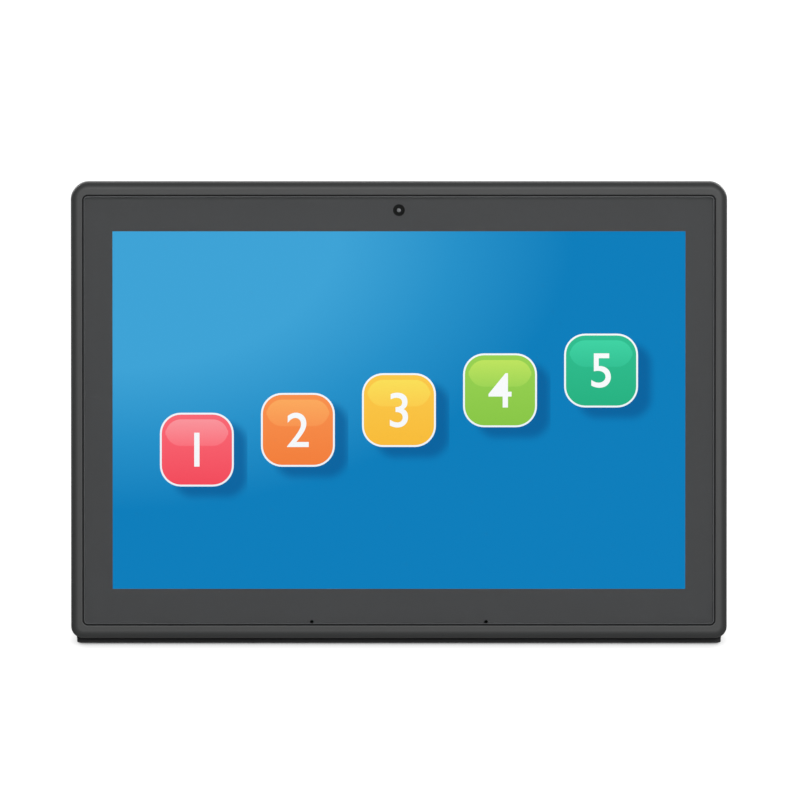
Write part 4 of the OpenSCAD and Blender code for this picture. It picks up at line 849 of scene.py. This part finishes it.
# 1 where the background is seen straight, in a gloss or through glass; 0 where it would light the object
def whiteWhenSeen(tree):
    path = addNode(tree, "ShaderNodeLightPath")
    mirrored = addNode(tree, "ShaderNodeMath", {"operation": "MAXIMUM"},
                       {0: path.outputs["Is Camera Ray"], 1: path.outputs["Is Glossy Ray"]})
    through = addNode(tree, "ShaderNodeMath", {"operation": "MAXIMUM"},
                      {0: mirrored, 1: path.outputs["Is Transmission Ray"]})
    unlit = addNode(tree, "ShaderNodeMath", {"operation": "LESS_THAN", 1: 0.5},
                    {0: path.outputs["Diffuse Depth"]})
    return addNode(tree, "ShaderNodeMath", {"operation": "MULTIPLY"}, {0: through, 1: unlit})


# the backdrop is behind the object; in a gloss the rest of the room is dim
def dimInFront(tree, coordinates, start, end):
    place = addNode(tree, "ShaderNodeTexCoord")
    split = addNode(tree, "ShaderNodeSeparateXYZ", None, {"Vector": place.outputs[coordinates]})
    behind = addNode(tree, "ShaderNodeMapRange",
                     {"interpolation_type": "SMOOTHSTEP", "From Min": start, "From Max": end,
                      "To Min": studio["room"], "To Max": 1.0}, {"Value": split.outputs["Y"]})
    path = addNode(tree, "ShaderNodeLightPath")
    return addNode(tree, "ShaderNodeMath", {"operation": "MAXIMUM"},
                   {0: behind, 1: path.outputs["Is Camera Ray"]})


floorMesh = bpy.data.meshes.new("floor")
floorMesh.from_pydata([(x * studio["half"], y * studio["half"], 0)
                       for x, y in ((-1, -1), (1, -1), (1, 1), (-1, 1))], [], [(0, 1, 2, 3)])
floor = bpy.data.objects.new("floor", floorMesh)
scene.collection.objects.link(floor)
paper, paperTree, paperShader = newMaterial("white paper sweep", {
    "Base Color": linearColour(studio["paper"]), "Roughness": studio["rough"], "Specular IOR Level": 0.0,
    "Emission Color": linearColour(studio["white"])})
near = addNode(paperTree, "ShaderNodeAmbientOcclusion", {"Distance": studio["shadowReach"] * mm,
                                                         "samples": studio["shadowSamples"]})
level = addNode(paperTree, "ShaderNodeMath", {"operation": "POWER", 1: studio["shadowCurve"]},
                {0: near.outputs["AO"]})
shadowed = addNode(paperTree, "ShaderNodeMath", {"operation": "MULTIPLY"},
                   {0: whiteWhenSeen(paperTree), 1: level})
lifted = addNode(paperTree, "ShaderNodeMath", {"operation": "MULTIPLY"},
                 {0: shadowed, 1: dimInFront(paperTree, "Object", *studio["floorFade"])})
addLinks(paperTree, paperShader, {"Emission Strength": lifted})
# open from below, for views of the underside
paperSide = addNode(paperTree, "ShaderNodeNewGeometry")
paperOpen = addNode(paperTree, "ShaderNodeBsdfTransparent")
paperBoth = addNode(paperTree, "ShaderNodeMixShader", None,
                    {0: paperSide.outputs["Backfacing"], 1: paperShader, 2: paperOpen})
addLinks(paperTree, paperTree.nodes["Material Output"], {"Surface": paperBoth})
floorMesh.materials.append(paper)
floor.visible_shadow = False

world = bpy.data.worlds.new("studio")
scene.world = world
world.use_nodes = True
air = world.node_tree
airLevel = addNode(air, "ShaderNodeMapRange", {"To Min": studio["air"]},
                   {"Value": whiteWhenSeen(air),
                    "To Max": dimInFront(air, "Generated", *studio["airFade"])})
addLinks(air, air.nodes["Background"], {"Strength": airLevel})
air.nodes["Background"].inputs["Color"].default_value = linearColour(studio["white"])

# Lamps: degrees round the object and above it, distance, width and height in metres, watts, seen in a gloss
lamps = {"front softbox": (6, 30, 2.4, 1.2, 0.9, 45, True),
         "rear left softbox": (215, 16, 2.4, 1.0, 1.0, 24, True),
         "rear right softbox": (145, 16, 2.4, 1.0, 1.0, 24, True),
         "table light": (0, -90, 1.5, 1.0, 1.0, 7, False)}  # comes through the paper, for the underside
for name, (azimuth, elevation, distance, wide, high, power, mirrored) in lamps.items():
    lamp = bpy.data.lights.new(name, "AREA")
    lamp.shape, lamp.size, lamp.size_y, lamp.energy = "RECTANGLE", wide, high, power
    holder = bpy.data.objects.new(name, lamp)
    scene.collection.objects.link(holder)
    around, above = math.radians(azimuth), math.radians(elevation)
    away = Vector((math.sin(around) * math.cos(above), -math.cos(around) * math.cos(above),
                   math.sin(above)))
    holder.location = faceMiddle + away * distance
    holder.rotation_euler = away.to_track_quat("Z", "Y").to_euler()
    # seen neither straight nor through the glass, which already lets the light through
    holder.visible_camera, holder.visible_transmission, holder.visible_glossy = False, False, mirrored
print("studio set")
